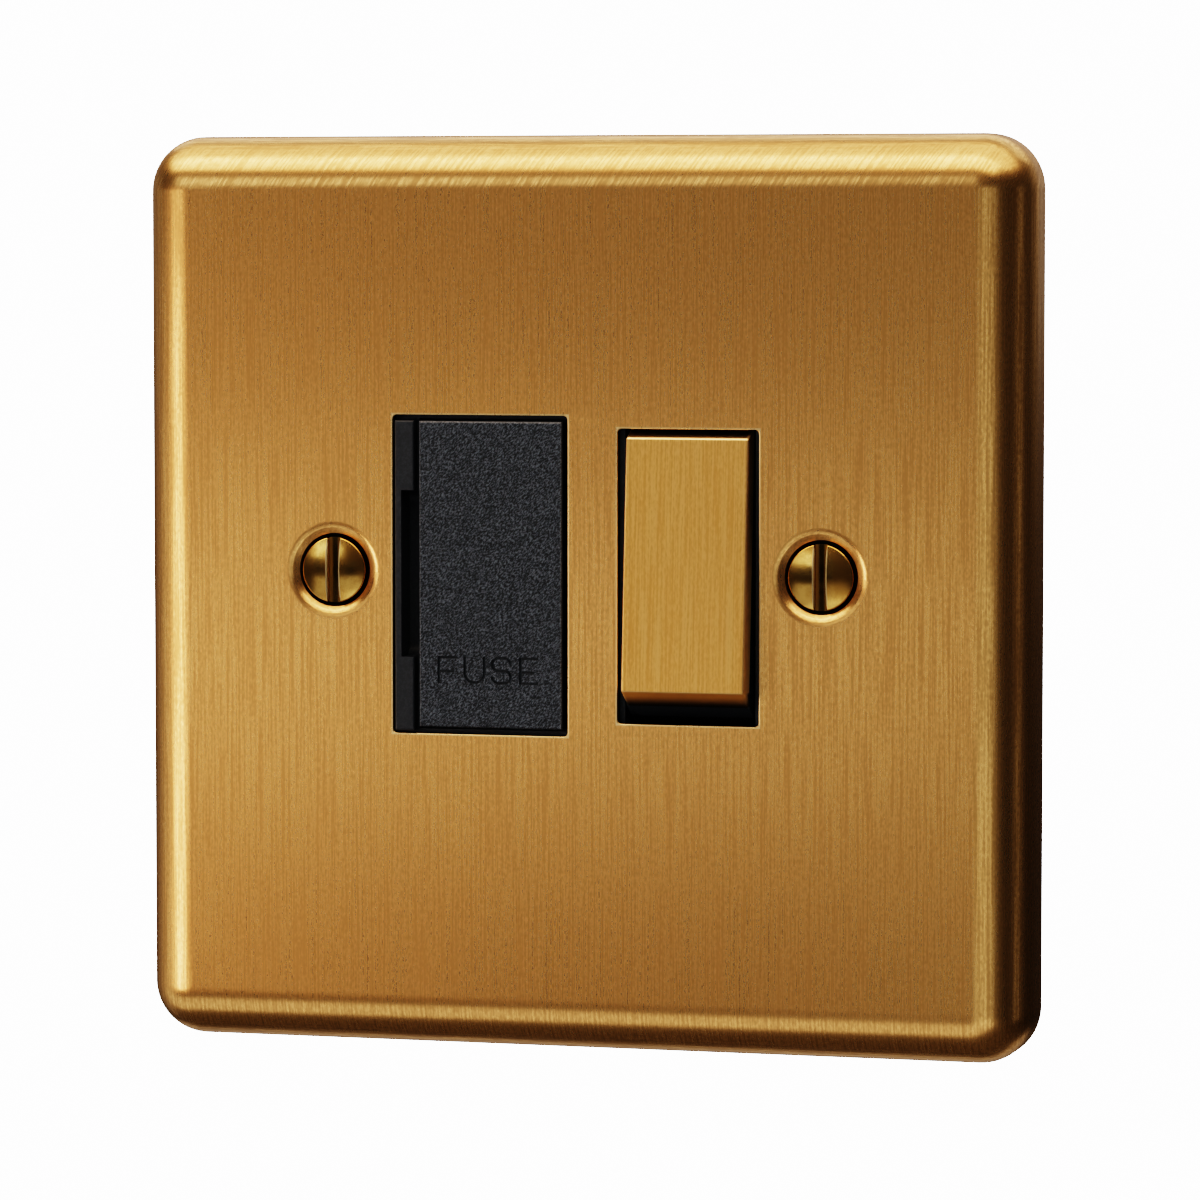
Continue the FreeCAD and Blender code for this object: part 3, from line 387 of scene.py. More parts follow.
def brushed_brass(name, light, dark, rough, relief, marks_of, highlight_mask=None, shade_mask=None):
    """Brass brushed one way: the marks change its colour, roughness and relief, and the shine
    spreads across them. A pale painted highlight covers the brass where its highlight mask
    rises, and a dark, dull painted shade where its shade mask does."""
    material, tree, shader, place = blank_material(name)
    marks = marks_of(tree, place)
    tone = ramp(tree, marks, *TONE_MARKS)
    colour = add_node(tree, "Mix", {"Factor": tone, 6: dark, 7: light}, data_type="RGBA").outputs[2]
    dull = ramp(tree, marks, *DULL_MARKS, rough + ROUGH_SWING, rough - ROUGH_SWING)
    # Pale painted highlight where the highlight mask rises.
    if highlight_mask:
        colour = add_node(tree, "Mix", {"Factor": highlight_mask(tree, place), 6: colour, 7: PAINTED_HIGHLIGHT_BRASS},
                          data_type="RGBA").outputs[2]
    # Dark, dull painted shade where the shade mask rises.
    if shade_mask:
        painted_shade = shade_mask(tree, place)
        colour = add_node(tree, "Mix", {"Factor": painted_shade, 6: colour, 7: PAINTED_SHADE_BRASS},
                          data_type="RGBA").outputs[2]
        dull = add_node(tree, "Mix", {"Factor": painted_shade, 2: dull, 3: PAINTED_SHADE_ROUGH},
                        data_type="FLOAT").outputs[0]
    tree.links.new(colour, shader.inputs["Base Color"])
    tree.links.new(dull, shader.inputs["Roughness"])
    bump = add_node(tree, "Bump", {"Height": marks, "Strength": 1.0, "Distance": relief})
    tree.links.new(bump.outputs["Normal"], shader.inputs["Normal"])
    across = add_node(tree, "Tangent", direction_type="UV_MAP", uv_map="brushing")
    tree.links.new(across.outputs["Tangent"], shader.inputs["Tangent"])
    shader.inputs["Metallic"].default_value = 1.0
    shader.inputs["Anisotropic"].default_value = BRUSHED_SPREAD
    return material


PLATE_STREAK = (3.4, 0.055, 1)
PLATE_GRAIN = (3.6, 1.5, 1)
RIM_STREAK = (110, 3400, 3400)
RIM_GRAIN = (800, 3600, 3600)
RIM_DEPTH = (face_y + 1.0 * MM, face_y + 3.5 * MM)
RIM_MITRE = 1.5 * MM
HIGHLIGHT_REACH = 0.14 * MM
WALL_REACH = (0.08 * MM, 0.02 * MM)
WALL_DEPTH = (face_y + 0.15 * MM, face_y + 0.4 * MM)
HOLE_REACH = (SEAT_SHOULDER_IN + 0.06 * MM, SEAT_SHOULDER_IN - 0.02 * MM)
FAR_OFF = 1.0


def plate_rim(tree, place):
    """Mask of the outer part of the top and bottom rolls: it rises with the depth behind the
    face, and only where the plate's edge above or below is nearer than the one at the side."""
    axes = add_node(tree, "SeparateXYZ", {0: place})
    up = arithmetic(tree, "ABSOLUTE", arithmetic(tree, "SUBTRACT", axes.outputs["Z"], plate_middle))
    side = arithmetic(tree, "ABSOLUTE", axes.outputs["X"])
    deep = ramp(tree, axes.outputs["Y"], *RIM_DEPTH)
    nearer = ramp(tree, arithmetic(tree, "SUBTRACT", up, side), -RIM_MITRE, RIM_MITRE)
    return arithmetic(tree, "MULTIPLY", deep, nearer)


def plate_marks(tree, place):
    """Upright brush marks from the brushing map, and marks along the rim on its outer part."""
    spot = add_node(tree, "UVMap", uv_map="brushing").outputs["UV"]
    upright = brush_marks(tree, spot, PLATE_STREAK, PLATE_GRAIN)
    along = brush_marks(tree, place, RIM_STREAK, RIM_GRAIN)
    mask = plate_rim(tree, place)
    return add_node(tree, "Mix", {"Factor": mask, 2: upright, 3: along},
                    data_type="FLOAT").outputs[0]


def outside_windows(tree, axes):
    """Distance of a spot outside the nearer window: the larger of its two overhangs past the
    window's half sizes."""
    nearest = FAR_OFF
    for (left, right), (bottom, top) in WINDOWS.values():
        past = []
        for axis, low, high in (("X", left, right), ("Z", bottom, top)):
            off = arithmetic(tree, "SUBTRACT", axes.outputs[axis], (low + high) / 2)
            past.append(arithmetic(tree, "SUBTRACT", arithmetic(tree, "ABSOLUTE", off),
                                   (high - low) / 2))
        nearest = arithmetic(tree, "MINIMUM", nearest, arithmetic(tree, "MAXIMUM", *past))
    return nearest


def window_edge_highlight(tree, place):
    """Mask of a painted highlight: a thin line on the face round each window, next to its bevel."""
    axes = add_node(tree, "SeparateXYZ", {0: place})
    return ramp(tree, outside_windows(tree, axes), WINDOW_BEVEL + HIGHLIGHT_REACH, WINDOW_BEVEL)


def plate_painted_shade(tree, place):
    """Mask of painted shade on the window walls, where a spot is no further out than the window
    and below the face, and in the screw holes, inside the shoulder of each seat."""
    axes = add_node(tree, "SeparateXYZ", {0: place})
    wall = ramp(tree, outside_windows(tree, axes), *WALL_REACH)
    deep = ramp(tree, axes.outputs["Y"], *WALL_DEPTH)
    mask = arithmetic(tree, "MULTIPLY", wall, deep)
    level = add_node(tree, "CombineXYZ", {"X": axes.outputs["X"], "Z": axes.outputs["Z"]})
    for centre in seat_centres:
        away = add_node(tree, "VectorMath", {0: level.outputs[0], 1: (centre[0], 0, centre[1])},
                        operation="DISTANCE").outputs["Value"]
        hole = ramp(tree, away, *HOLE_REACH)
        mask = arithmetic(tree, "MAXIMUM", mask, hole)
    return mask


# Painted highlight round the windows; painted shade on the window walls and in the screw holes.
plate_brass = brushed_brass("plate brass", light=(1.0, 0.56, 0.225, 1), dark=(0.69, 0.37, 0.142, 1),
                            rough=0.30, relief=3.4e-6, marks_of=plate_marks, highlight_mask=window_edge_highlight,
                            shade_mask=plate_painted_shade)
plate.data.materials.append(plate_brass)
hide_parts("front_plate")
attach(plate, "unit")

# Rocker: a thin brass shell, brushed along its length, pressed over the black rocker. It is
# drawn upright about its pivot and tipped to OFF, as the rocker stands.
ROCKER_TILT = 4.4
CAP_FACE = -12.95 * MM
CAP_HALF_WIDTH = 7.5 * MM
CAP_HALF_LENGTH = 15.05 * MM
CAP_SIDE = 3.0 * MM
CAP_SHEET = 0.9 * MM
CAP_FLARE = math.tan(math.radians(28.7))
CAP_CORNER = 0.3 * MM
CAP_ROUND = 0.25 * MM
CAP_SIDE_STEPS = 6
CAP_CORNER_STEPS = 5
rocker_joint = next(joint for joint in frame["joints"] if joint["name"] == "rocker_turn")


def tipped(points):
    """Upright rocker points turned about the pivot to OFF: y and z turn together by the tilt."""
    turn = math.radians(-ROCKER_TILT)
    y = points[..., 1] * math.cos(turn) - points[..., 2] * math.sin(turn)
    z = points[..., 1] * math.sin(turn) + points[..., 2] * math.cos(turn)
    return np.stack([points[..., 0], y, z], axis=-1) + np.array(rocker_joint["pos_m"])


places, directions = side_path(CAP_HALF_WIDTH, CAP_HALF_LENGTH, CAP_CORNER,
                               CAP_SIDE_STEPS, CAP_CORNER_STEPS)
reach = np.concatenate([CAP_CORNER - CAP_ROUND * (1 - np.sin(ease)),
                        [CAP_CORNER, CAP_CORNER - CAP_SHEET, CAP_CORNER - CAP_SHEET]])
depth = np.concatenate([CAP_FACE + CAP_ROUND * (1 - np.cos(ease)),
                        [CAP_FACE + CAP_SIDE, CAP_FACE + CAP_SIDE, CAP_FACE + CAP_SHEET]])
wall = carried(places, directions, reach, depth)
# The two end walls lean outwards by the flare times their depth behind the face.
wall[:, :, 2] += np.sign(places[:, 1]) * CAP_FLARE * (wall[:, :, 1] - CAP_FACE)
wall_map = brushing_along(places, directions, reach, depth)
lid = np.arange(len(places))[None, :]
cap = closed_piece("rocker_brass_cap", [
    (tipped(wall), ring_faces(*wall.shape[:2]), wall_map),
    (tipped(wall[0]), lid, wall_map[0]),
    (tipped(wall[-1]), lid, wall_map[-1])])
cap_head = tipped(np.array([0, CAP_FACE, CAP_HALF_LENGTH]))
cap_foot = tipped(np.array([0, CAP_FACE, -CAP_HALF_LENGTH]))
ROCKER_STREAK = (3.8, 0.06, 1)
ROCKER_GRAIN = (4.0, 1.3, 1)
EDGE_HIGHLIGHT_WIDTH = 0.2 * MM
FOOT_BELOW = (cap_foot[2] + 0.1 * MM, cap_foot[2] - 0.3 * MM)
FOOT_DEPTH = (cap_foot[1] + 0.6 * MM, cap_foot[1] + 3.0 * MM)


def rocker_marks(tree, place):
    """Finer brush marks along the rocker, from its own brushing map."""
    spot = add_node(tree, "UVMap", uv_map="brushing").outputs["UV"]
    return brush_marks(tree, spot, ROCKER_STREAK, ROCKER_GRAIN)


def rocker_edge_highlight(tree, place):
    """Mask of a painted highlight on the face's side and top edges, and on the wall below it."""
    axes = add_node(tree, "SeparateXYZ", {0: place})
    aside = arithmetic(tree, "SUBTRACT", axes.outputs["X"], rocker_joint["pos_m"][0])
    side = ramp(tree, arithmetic(tree, "ABSOLUTE", aside), CAP_HALF_WIDTH - EDGE_HIGHLIGHT_WIDTH,
                CAP_HALF_WIDTH - EDGE_HIGHLIGHT_WIDTH / 2)
    head = ramp(tree, axes.outputs["Z"], cap_head[2] - EDGE_HIGHLIGHT_WIDTH,
                cap_head[2] - EDGE_HIGHLIGHT_WIDTH / 2)
    foot = ramp(tree, axes.outputs["Z"], cap_foot[2] + EDGE_HIGHLIGHT_WIDTH / 2, cap_foot[2])
    return arithmetic(tree, "MAXIMUM", foot, arithmetic(tree, "MAXIMUM", side, head))


def rocker_foot_shade(tree, place):
    """Mask of painted shade on the lower wall's inner half, rising with depth below the face's edge.
    """
    axes = add_node(tree, "SeparateXYZ", {0: place})
    below = ramp(tree, axes.outputs["Z"], *FOOT_BELOW)
    deep = ramp(tree, axes.outputs["Y"], *FOOT_DEPTH)
    return arithmetic(tree, "MULTIPLY", below, deep)


# Painted highlight on the rocker's edges and lower wall, painted shade deeper on that wall.
rocker_brass = brushed_brass("rocker brass", light=(1.0, 0.59, 0.225, 1),
                             dark=(0.78, 0.42, 0.135, 1), rough=0.40, relief=12e-6,
                             marks_of=rocker_marks, highlight_mask=rocker_edge_highlight, shade_mask=rocker_foot_shade)
cap.data.materials.append(rocker_brass)
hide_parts("rocker_cap")
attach(cap, "rocker")

# Fixing screws: solid brass, turned, slotted and polished, with faint turning marks. Their
# slots get painted shade, and the slots' edges a painted highlight.
TARNISH_SCALE = 260.0
TARNISH_RANGE = (0.35, 0.7)
MARK_SHARE = 0.6
METAL_TONE = (0.25, 0.75)
METAL_DULL = (0.2, 0.8)
DULLED = 1.3
POLISHED = 0.75
SCREW_SLOT_HALF = 0.725 * MM
SLOT_SHADE_START = face_y + 0.3 * MM
SLOT_SHADE_FULL = face_y + 0.8 * MM
SLOT_SHADE_END = face_y + 1.6 * MM
SLOT_PAINTED_SHADE = (0.34, 0.20, 0.055, 1)
SLOT_COVER = 0.85
SLOT_INSIDE = (SCREW_SLOT_HALF + 0.1 * MM, SCREW_SLOT_HALF + 0.02 * MM)
SLOT_SIDES = (0.2 * SCREW_SLOT_HALF, 0.8 * SCREW_SLOT_HALF)
SLOT_EDGE = SCREW_SLOT_HALF + 0.06 * MM
SLOT_HIGHLIGHT_REACH = (0.12 * MM, 0.06 * MM)
SLOT_PAINTED_HIGHLIGHT = (1.0, 0.86, 0.56, 1)
SLOT_HIGHLIGHT_ROUGH = 0.55


def dress(nodes, material):
    """Gives CAD nodes one finish."""
    for node in nodes:
        slots = frame["nodes"][node].data.materials
        slots.clear()
        slots.append(material)


def bare_metal(name, light, dark, rough, streak, grain, relief, worked=None):
    """Bare or plated metal: drawing or turning marks change its colour, roughness and relief,
    and slow cloudy patches of tarnish dull it. The function worked may change the colour and
    the roughness further, and say how metallic the surface is."""
    material, tree, shader, place = blank_material(name)
    marks = brush_marks(tree, place, streak, grain)
    clouds = add_node(tree, "TexNoise", {"Vector": place, "Scale": TARNISH_SCALE, "Detail": 2.0})
    tarnish = ramp(tree, clouds.outputs["Fac"], *TARNISH_RANGE)
    shade = arithmetic(tree, "MULTIPLY_ADD", marks, MARK_SHARE,
                       arithmetic(tree, "MULTIPLY", tarnish, 1 - MARK_SHARE))
    tone = ramp(tree, shade, *METAL_TONE)
    colour = add_node(tree, "Mix", {"Factor": tone, 6: dark, 7: light},
                      data_type="RGBA").outputs[2]
    dull = ramp(tree, shade, *METAL_DULL, rough * DULLED, rough * POLISHED)
    shader.inputs["Metallic"].default_value = 1.0
    if worked:
        colour, dull, metalness = worked(tree, place, colour, dull)
        tree.links.new(metalness, shader.inputs["Metallic"])
    tree.links.new(colour, shader.inputs["Base Color"])
    tree.links.new(dull, shader.inputs["Roughness"])
    bump = add_node(tree, "Bump", {"Height": marks, "Strength": 1.0, "Distance": relief})
    tree.links.new(bump.outputs["Normal"], shader.inputs["Normal"])
    return material


def screw_painted_light(tree, place, colour, dull):
    """Painted shade on the slot's floor and round the head's side, by depth, and a painted
    highlight along the slot's two edges, by the distance sideways from the nearer screw's
    middle. Along the slot's two sides the painted shade also makes the metal less metallic."""
    axes = add_node(tree, "SeparateXYZ", {0: place})
    depth = axes.outputs["Y"]
    # Painted shade: darker with depth in the slot and round the head's side.
    painted_shade = arithmetic(tree, "MULTIPLY", ramp(tree, depth, SLOT_SHADE_START, SLOT_SHADE_FULL),
                       ramp(tree, depth, SLOT_SHADE_END, SLOT_SHADE_FULL))
    aside = arithmetic(tree, "ABSOLUTE", axes.outputs["X"])
    aside = arithmetic(tree, "SUBTRACT", aside, abs(seat_centres[0][0]))
    aside = arithmetic(tree, "ABSOLUTE", aside)
    sides = arithmetic(tree, "MULTIPLY", ramp(tree, aside, *SLOT_INSIDE),
                       ramp(tree, aside, *SLOT_SIDES))
    metalness = arithmetic(tree, "MULTIPLY_ADD", arithmetic(tree, "MULTIPLY", painted_shade, sides),
                      -SLOT_COVER, 1.0)
    off_edge = arithmetic(tree, "ABSOLUTE", arithmetic(tree, "SUBTRACT", aside, SLOT_EDGE))
    # Painted highlight along the slot's two edges.
    painted_highlight = arithmetic(tree, "MULTIPLY", ramp(tree, off_edge, *SLOT_HIGHLIGHT_REACH),
                        ramp(tree, depth, SLOT_SHADE_START, face_y))
    colour = add_node(tree, "Mix", {"Factor": painted_shade, 6: colour, 7: SLOT_PAINTED_SHADE},
                      data_type="RGBA").outputs[2]
    colour = add_node(tree, "Mix", {"Factor": painted_highlight, 6: colour, 7: SLOT_PAINTED_HIGHLIGHT},
                      data_type="RGBA").outputs[2]
    dull = add_node(tree, "Mix", {"Factor": painted_highlight, 2: dull, 3: SLOT_HIGHLIGHT_ROUGH},
                    data_type="FLOAT").outputs[0]
    return colour, dull, metalness


screw_brass = bare_metal("screw brass", light=(0.97, 0.60, 0.20, 1), dark=(0.70, 0.38, 0.11, 1),
                         rough=0.20, streak=(1300, 300, 1300), grain=(4000, 1500, 4000),
                         relief=4e-6, worked=screw_painted_light)
dress(screws, screw_brass)

# Black mouldings: filled urea plastic. The mould's own polish leaves the module and the rocker
# nearly smooth. The drawer's front is moulded against sparked steel, which leaves a slanted,
# worm-like grain.
moulding_tree, moulding_in, moulding_out = shader_group(
    "moulded grain", {"Vector": "Vector", "Size": "Float", "Slant": "Float"},
    {"Height": "Float"})
GRAIN_SLANT = (0, math.radians(-45), 0)
GRAIN_TOPS = (0.41, 0.68)
GRAIN_FADE = 0.08 * MM
SMOOTH_SHARE = 0.15
BLACK_ROUGH_SWING = 0.07
LETTER_EDGE = 0.05 * MM
DRAWER_HIGHLIGHT_REACH = 0.3 * MM
HIGHLIGHT_LEAST = 0.3
PAINTED_HIGHLIGHT_BLACK = (0.26, 0.27, 0.29, 1)
drawer_low, drawer_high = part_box("fuse_carrier")
turned = add_node(moulding_tree, "Mapping", {"Vector": moulding_in.outputs["Vector"],
                                             "Rotation": GRAIN_SLANT}).outputs[0]
drawn = add_node(moulding_tree, "CombineXYZ", {"X": 1.0, "Y": 1.0,
                                               "Z": moulding_in.outputs["Slant"]}).outputs[0]
worms = add_node(moulding_tree, "TexNoise", {
    "Vector": add_node(moulding_tree, "VectorMath", {0: turned, 1: drawn},
                       operation="MULTIPLY").outputs[0],
    "Scale": moulding_in.outputs["Size"], "Detail": 2.0, "Roughness": 0.5, "Distortion": 0.4})
moulding_tree.links.new(ramp(moulding_tree, worms.outputs["Fac"], *GRAIN_TOPS),
                        moulding_out.inputs["Height"])


def black_moulding(name, size, slant, light, dark, rough, relief, smooth_from=None, highlight_mask=None):
    """Black plastic whose grain stands in relief and is paler on its tops. Deeper than
    smooth_from the grain fades out, as on an engraved letter's floor, and where its highlight
    mask rises its tops get a grey painted highlight."""
    material, tree, shader, place = blank_material(name)
    node = add_node(tree, "Group", node_tree=moulding_tree)
    tree.links.new(place, node.inputs["Vector"])
    node.inputs["Size"].default_value = size
    node.inputs["Slant"].default_value = slant
    height = node.outputs["Height"]
    if smooth_from:
        depth = add_node(tree, "SeparateXYZ", {0: place}).outputs["Y"]
        height = arithmetic(tree, "MULTIPLY", height, ramp(
            tree, depth, smooth_from, smooth_from + GRAIN_FADE, 1.0, SMOOTH_SHARE))
    colour = add_node(tree, "Mix", {"Factor": height, 6: dark, 7: light},
                      data_type="RGBA").outputs[2]
    # Grey painted highlight on the grain's tops where the highlight mask rises.
    if highlight_mask:
        tops = arithmetic(tree, "MULTIPLY_ADD", height, 1 - HIGHLIGHT_LEAST, HIGHLIGHT_LEAST)
        painted_highlight = arithmetic(tree, "MULTIPLY", highlight_mask(tree, place), tops)
        colour = add_node(tree, "Mix", {"Factor": painted_highlight, 6: colour, 7: PAINTED_HIGHLIGHT_BLACK},
                          data_type="RGBA").outputs[2]
    tree.links.new(colour, shader.inputs["Base Color"])
    dull = ramp(tree, height, 0.0, 1.0, rough - BLACK_ROUGH_SWING, rough + BLACK_ROUGH_SWING)
    tree.links.new(dull, shader.inputs["Roughness"])
    bump = add_node(tree, "Bump", {"Height": height, "Strength": 1.0, "Distance": relief})
    tree.links.new(bump.outputs["Normal"], shader.inputs["Normal"])
    return material


def drawer_edge_highlight(tree, place):
    """Mask of a painted highlight on the drawer's front edges: full along the top, half along the
    two sides, and gone a little behind the face."""
    axes = add_node(tree, "SeparateXYZ", {0: place})
    aside = arithmetic(tree, "ABSOLUTE", arithmetic(tree, "SUBTRACT", axes.outputs["X"],
                                                    (drawer_low[0] + drawer_high[0]) / 2))
    half = (drawer_high[0] - drawer_low[0]) / 2
    side = ramp(tree, aside, half - DRAWER_HIGHLIGHT_REACH, half - DRAWER_HIGHLIGHT_REACH / 2, 0.0, 0.5)
    head = ramp(tree, axes.outputs["Z"], drawer_high[2] - DRAWER_HIGHLIGHT_REACH,
                drawer_high[2] - DRAWER_HIGHLIGHT_REACH / 2)
    near = ramp(tree, axes.outputs["Y"], drawer_low[1] + 2 * DRAWER_HIGHLIGHT_REACH, drawer_low[1] + DRAWER_HIGHLIGHT_REACH)
    return arithmetic(tree, "MULTIPLY", near, arithmetic(tree, "MAXIMUM", side, head))


# The drawer's front edges get a grey painted highlight.
drawer_black = black_moulding("drawer black", size=7400.0, slant=0.45,
                              light=(0.132, 0.155, 0.188, 1), dark=(0.008, 0.0115, 0.0165, 1),
                              rough=0.44, relief=40e-6, smooth_from=drawer_low[1] + LETTER_EDGE,
                              highlight_mask=drawer_edge_highlight)
dress(("fuse_carrier",), drawer_black)
smooth_black = black_moulding("smooth black", size=5200.0, slant=0.8,
                              light=(0.036, 0.042, 0.050, 1), dark=(0.024, 0.028, 0.034, 1),
                              rough=0.45, relief=5e-6)
dress(("module_front", "rear_base", "rocker_body"), smooth_black)

# Contacts, terminals and fuse jaws: brass strip and bar, pressed, milled and left plain.
contact_brass = bare_metal("contact brass", light=(0.90, 0.69, 0.37, 1), dark=(0.66, 0.46, 0.21, 1),
                           rough=0.28, streak=(900, 900, 120), grain=(3000, 3000, 900),
                           relief=6e-6)
poles = ("live", "neutral")
terminals = ("supply_live", "supply_neutral", "load_live", "load_neutral", "earth")
dress(["plunger_" + pole for pole in poles] + ["see_saw_" + pole for pole in poles]
      + ["fulcrum_" + pole for pole in poles] + ["fixed_contact_" + pole for pole in poles]
      + [terminal + "_terminal" for terminal in terminals]
      + ["fuse_clip_lower", "fuse_clip_upper"], contact_brass)

# Springs, the fuse clip and the earth strap: drawn spring wire and rolled strip.
spring_steel = bare_metal("spring steel", light=(0.66, 0.66, 0.65, 1), dark=(0.40, 0.40, 0.41, 1),
                          rough=0.3, streak=(1500, 1500, 200), grain=(4000, 4000, 1200),
                          relief=5e-6)
dress(["plunger_spring_" + pole for pole in poles] + ["carrier_clip", "earth_strap"],
      spring_steel)

# Clamp and assembly screws: steel, turned and zinc plated, held in the terminals' threads and
# in the front moulding's pillars.
zinc = bare_metal("zinc plate", light=(0.74, 0.76, 0.78, 1), dark=(0.50, 0.52, 0.55, 1),
                  rough=0.26, streak=(1200, 400, 1200), grain=(2600, 2600, 2600), relief=5e-6)
dress([terminal + "_clamp_screw" for terminal in terminals]
      + ["assembly_screw_%d" % number for number in range(1, 5)], zinc)

# Fuse: a glazed ceramic tube with two nickel-plated brass caps crimped on its ends.
nickel = bare_metal("nickel plate", light=(0.76, 0.70, 0.62, 1), dark=(0.58, 0.52, 0.45, 1),
                    rough=0.2, streak=(1500, 1500, 150), grain=(3000, 3000, 700), relief=4e-6)
dress(("fuse_cap_lower", "fuse_cap_upper"), nickel)
GLAZE_SPECKS = 900.0
GLAZE_DARK = (0.74, 0.71, 0.64, 1)
GLAZE_LIGHT = (0.83, 0.80, 0.74, 1)
GLAZE_TONE = (0.35, 0.65)
GLAZE_ROUGH = (0.3, 0.7, 0.22, 0.12)
GLAZE_RIPPLE = 0.01 * MM
glazed, tree, shader, place = blank_material("glazed ceramic")
specks = add_node(tree, "TexNoise", {"Vector": place, "Scale": GLAZE_SPECKS, "Detail": 4.0})
tone = add_node(tree, "Mix", {"Factor": ramp(tree, specks.outputs["Fac"], *GLAZE_TONE),
                              6: GLAZE_DARK, 7: GLAZE_LIGHT},
                data_type="RGBA")
tree.links.new(tone.outputs[2], shader.inputs["Base Color"])
tree.links.new(ramp(tree, specks.outputs["Fac"], *GLAZE_ROUGH), shader.inputs["Roughness"])
ripple = add_node(tree, "Bump", {"Height": specks.outputs["Fac"], "Strength": 1.0,
                                 "Distance": GLAZE_RIPPLE})
tree.links.new(ripple.outputs["Normal"], shader.inputs["Normal"])
dress(("fuse_tube",), glazed)

# Studio: a pale floor far below, soft boxes in front, on the left, above, below and behind, and
# a dark right side with one narrow strip. The room is paler behind the unit.
FLOOR_Z = -0.9
FLOOR_HALF = 60.0
FLOOR_TONE = (0.12, 0.12, 0.12, 1)
FLOOR_ROUGH = 0.9
WHITE = 8.0
ROOM_BEHIND = (0.45, 0.85)
ROOM_DARK = 0.05
ROOM_PALE = 0.3
KEY_TINT = (1.0, 0.80, 0.70)
TOP_TINT = (1.0, 0.86, 0.72)
OVERHEAD_TINT = (1.0, 0.88, 0.76)
FRONT_TINT = (0.93, 1.0, 1.0)
PLAIN_TINT = (1.0, 1.0, 1.0)
floor_mesh = bpy.data.meshes.new("floor")
floor_mesh.from_pydata([(-FLOOR_HALF, -FLOOR_HALF, FLOOR_Z), (FLOOR_HALF, -FLOOR_HALF, FLOOR_Z),
                        (FLOOR_HALF, FLOOR_HALF, FLOOR_Z), (-FLOOR_HALF, FLOOR_HALF, FLOOR_Z)],
                       [], [(0, 1, 2, 3)])
floor = bpy.data.objects.new("floor", floor_mesh)
bpy.context.collection.objects.link(floor)
floor_material, tree, shader, place = blank_material("pale floor")
shader.inputs["Base Color"].default_value = FLOOR_TONE
shader.inputs["Roughness"].default_value = FLOOR_ROUGH
glow = add_node(tree, "Emission", {"Color": (1, 1, 1, 1), "Strength": WHITE})
sight = add_node(tree, "LightPath").outputs["Is Camera Ray"]
seen = add_node(tree, "MixShader", {0: sight, 1: shader.outputs[0], 2: glow.outputs[0]})
tree.links.new(seen.outputs[0], tree.nodes["Material Output"].inputs["Surface"])
floor_mesh.materials.append(floor_material)

world = bpy.data.worlds.new("studio")
world.use_nodes = True
bpy.context.scene.world = world
tree = world.node_tree
room = tree.nodes["Background"]
direction = add_node(tree, "TexCoord").outputs["Generated"]
behind = add_node(tree, "SeparateXYZ", {0: direction}).outputs["Y"]
tree.links.new(ramp(tree, behind, *ROOM_BEHIND, ROOM_DARK, ROOM_PALE), room.inputs["Color"])
backdrop = add_node(tree, "Background", {"Color": (1, 1, 1, 1), "Strength": WHITE})
sight = add_node(tree, "LightPath").outputs["Is Camera Ray"]
seen = add_node(tree, "MixShader", {0: sight, 1: room.outputs[0], 2: backdrop.outputs[0]})
tree.links.new(seen.outputs[0], tree.nodes["World Output"].inputs["Surface"])


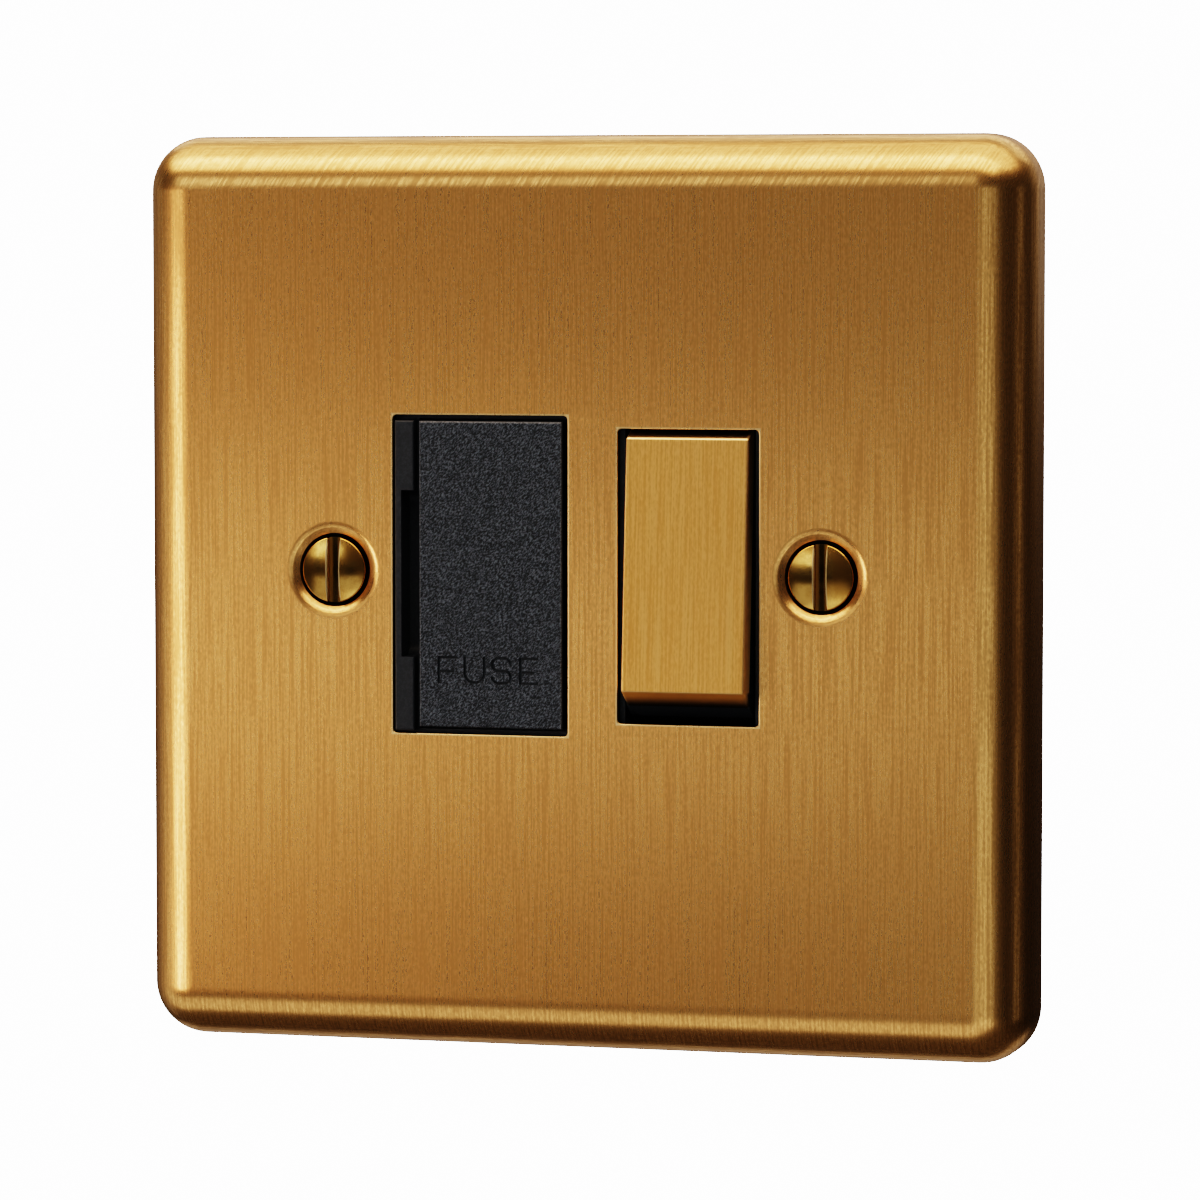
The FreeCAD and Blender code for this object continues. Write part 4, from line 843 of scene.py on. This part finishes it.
def soft_box(name, azimuth, elevation, half_width, half_height, distance, level, screws_state=None,
             tint=PLAIN_TINT):
    """Area light that looks at the unit: its place and half sizes are angles in degrees seen
    from there, and its level is its brightness. Azimuth runs from straight ahead to the right.
    It may be flagged off the screws, whose polish would mirror it whole, or light them alone."""
    data = bpy.data.lights.new(name, "AREA")
    data.shape = "RECTANGLE"
    data.size = 2 * distance * math.tan(math.radians(half_width))
    data.size_y = 2 * distance * math.tan(math.radians(half_height))
    data.energy = level * math.pi * data.size * data.size_y
    data.color = tint
    light = bpy.data.objects.new(name, data)
    turn = math.radians(azimuth)
    rise = math.radians(elevation)
    back = Vector((math.sin(turn) * math.cos(rise), -math.cos(turn) * math.cos(rise),
                   math.sin(rise)))
    light.location = back * distance
    light.rotation_euler = back.to_track_quat("Z", "Y").to_euler()
    light.visible_camera = False
    bpy.context.collection.objects.link(light)
    if screws_state:
        lit = bpy.data.collections.new(name + " and screws")
        for screw in screws:
            lit.objects.link(frame["nodes"][screw])
        for entry in lit.collection_objects:
            entry.light_linking.link_state = screws_state
        light.light_linking.receiver_collection = lit


soft_box("front box", 16.4, -14.5, 17.9, 18.5, 1.0, 0.52, "EXCLUDE", FRONT_TINT)
soft_box("near strip", -20.6, -5.3, 21.2, 4.6, 0.35, 0.455, "EXCLUDE")
soft_box("upper box", -29.1, 18.8, 20.0, 8.1, 1.0, 1.02)
soft_box("top box", -17.3, 55.7, 42.8, 13.4, 1.0, 2.1, tint=TOP_TINT)
soft_box("overhead box", -5.9, 84.7, 54.6, 25.2, 1.0, 1.15, tint=OVERHEAD_TINT)
soft_box("left key", -47.6, -8.4, 12.1, 10.1, 1.0, 3.5, "EXCLUDE", KEY_TINT)
soft_box("far left box", -80.8, -11.9, 13.2, 13.8, 1.0, 0.40)
soft_box("low box", -28.8, -44.5, 52.1, 11.8, 1.0, 0.53)
soft_box("floor box", -31.9, -78.9, 55.0, 27.6, 1.0, 0.21)
soft_box("right strip", 88.1, -8.0, 4.6, 13.9, 1.0, 0.26)
soft_box("left side box", -108.0, -12.0, 14.0, 30.0, 1.0, 0.15)
soft_box("low back box", 180.0, -45.0, 35.0, 15.0, 1.0, 0.25)
soft_box("near back box", 180.0, 0.0, 33.0, 33.0, 0.08, 0.9)
soft_box("high back box", 180.0, 48.0, 40.0, 14.0, 1.0, 0.75)
soft_box("screw box", -12.0, -22.0, 32.0, 11.0, 1.0, 0.30, "INCLUDE")

bpy.context.scene.view_settings.view_transform = "Filmic"
bpy.context.scene.view_settings.look = "Very High Contrast"
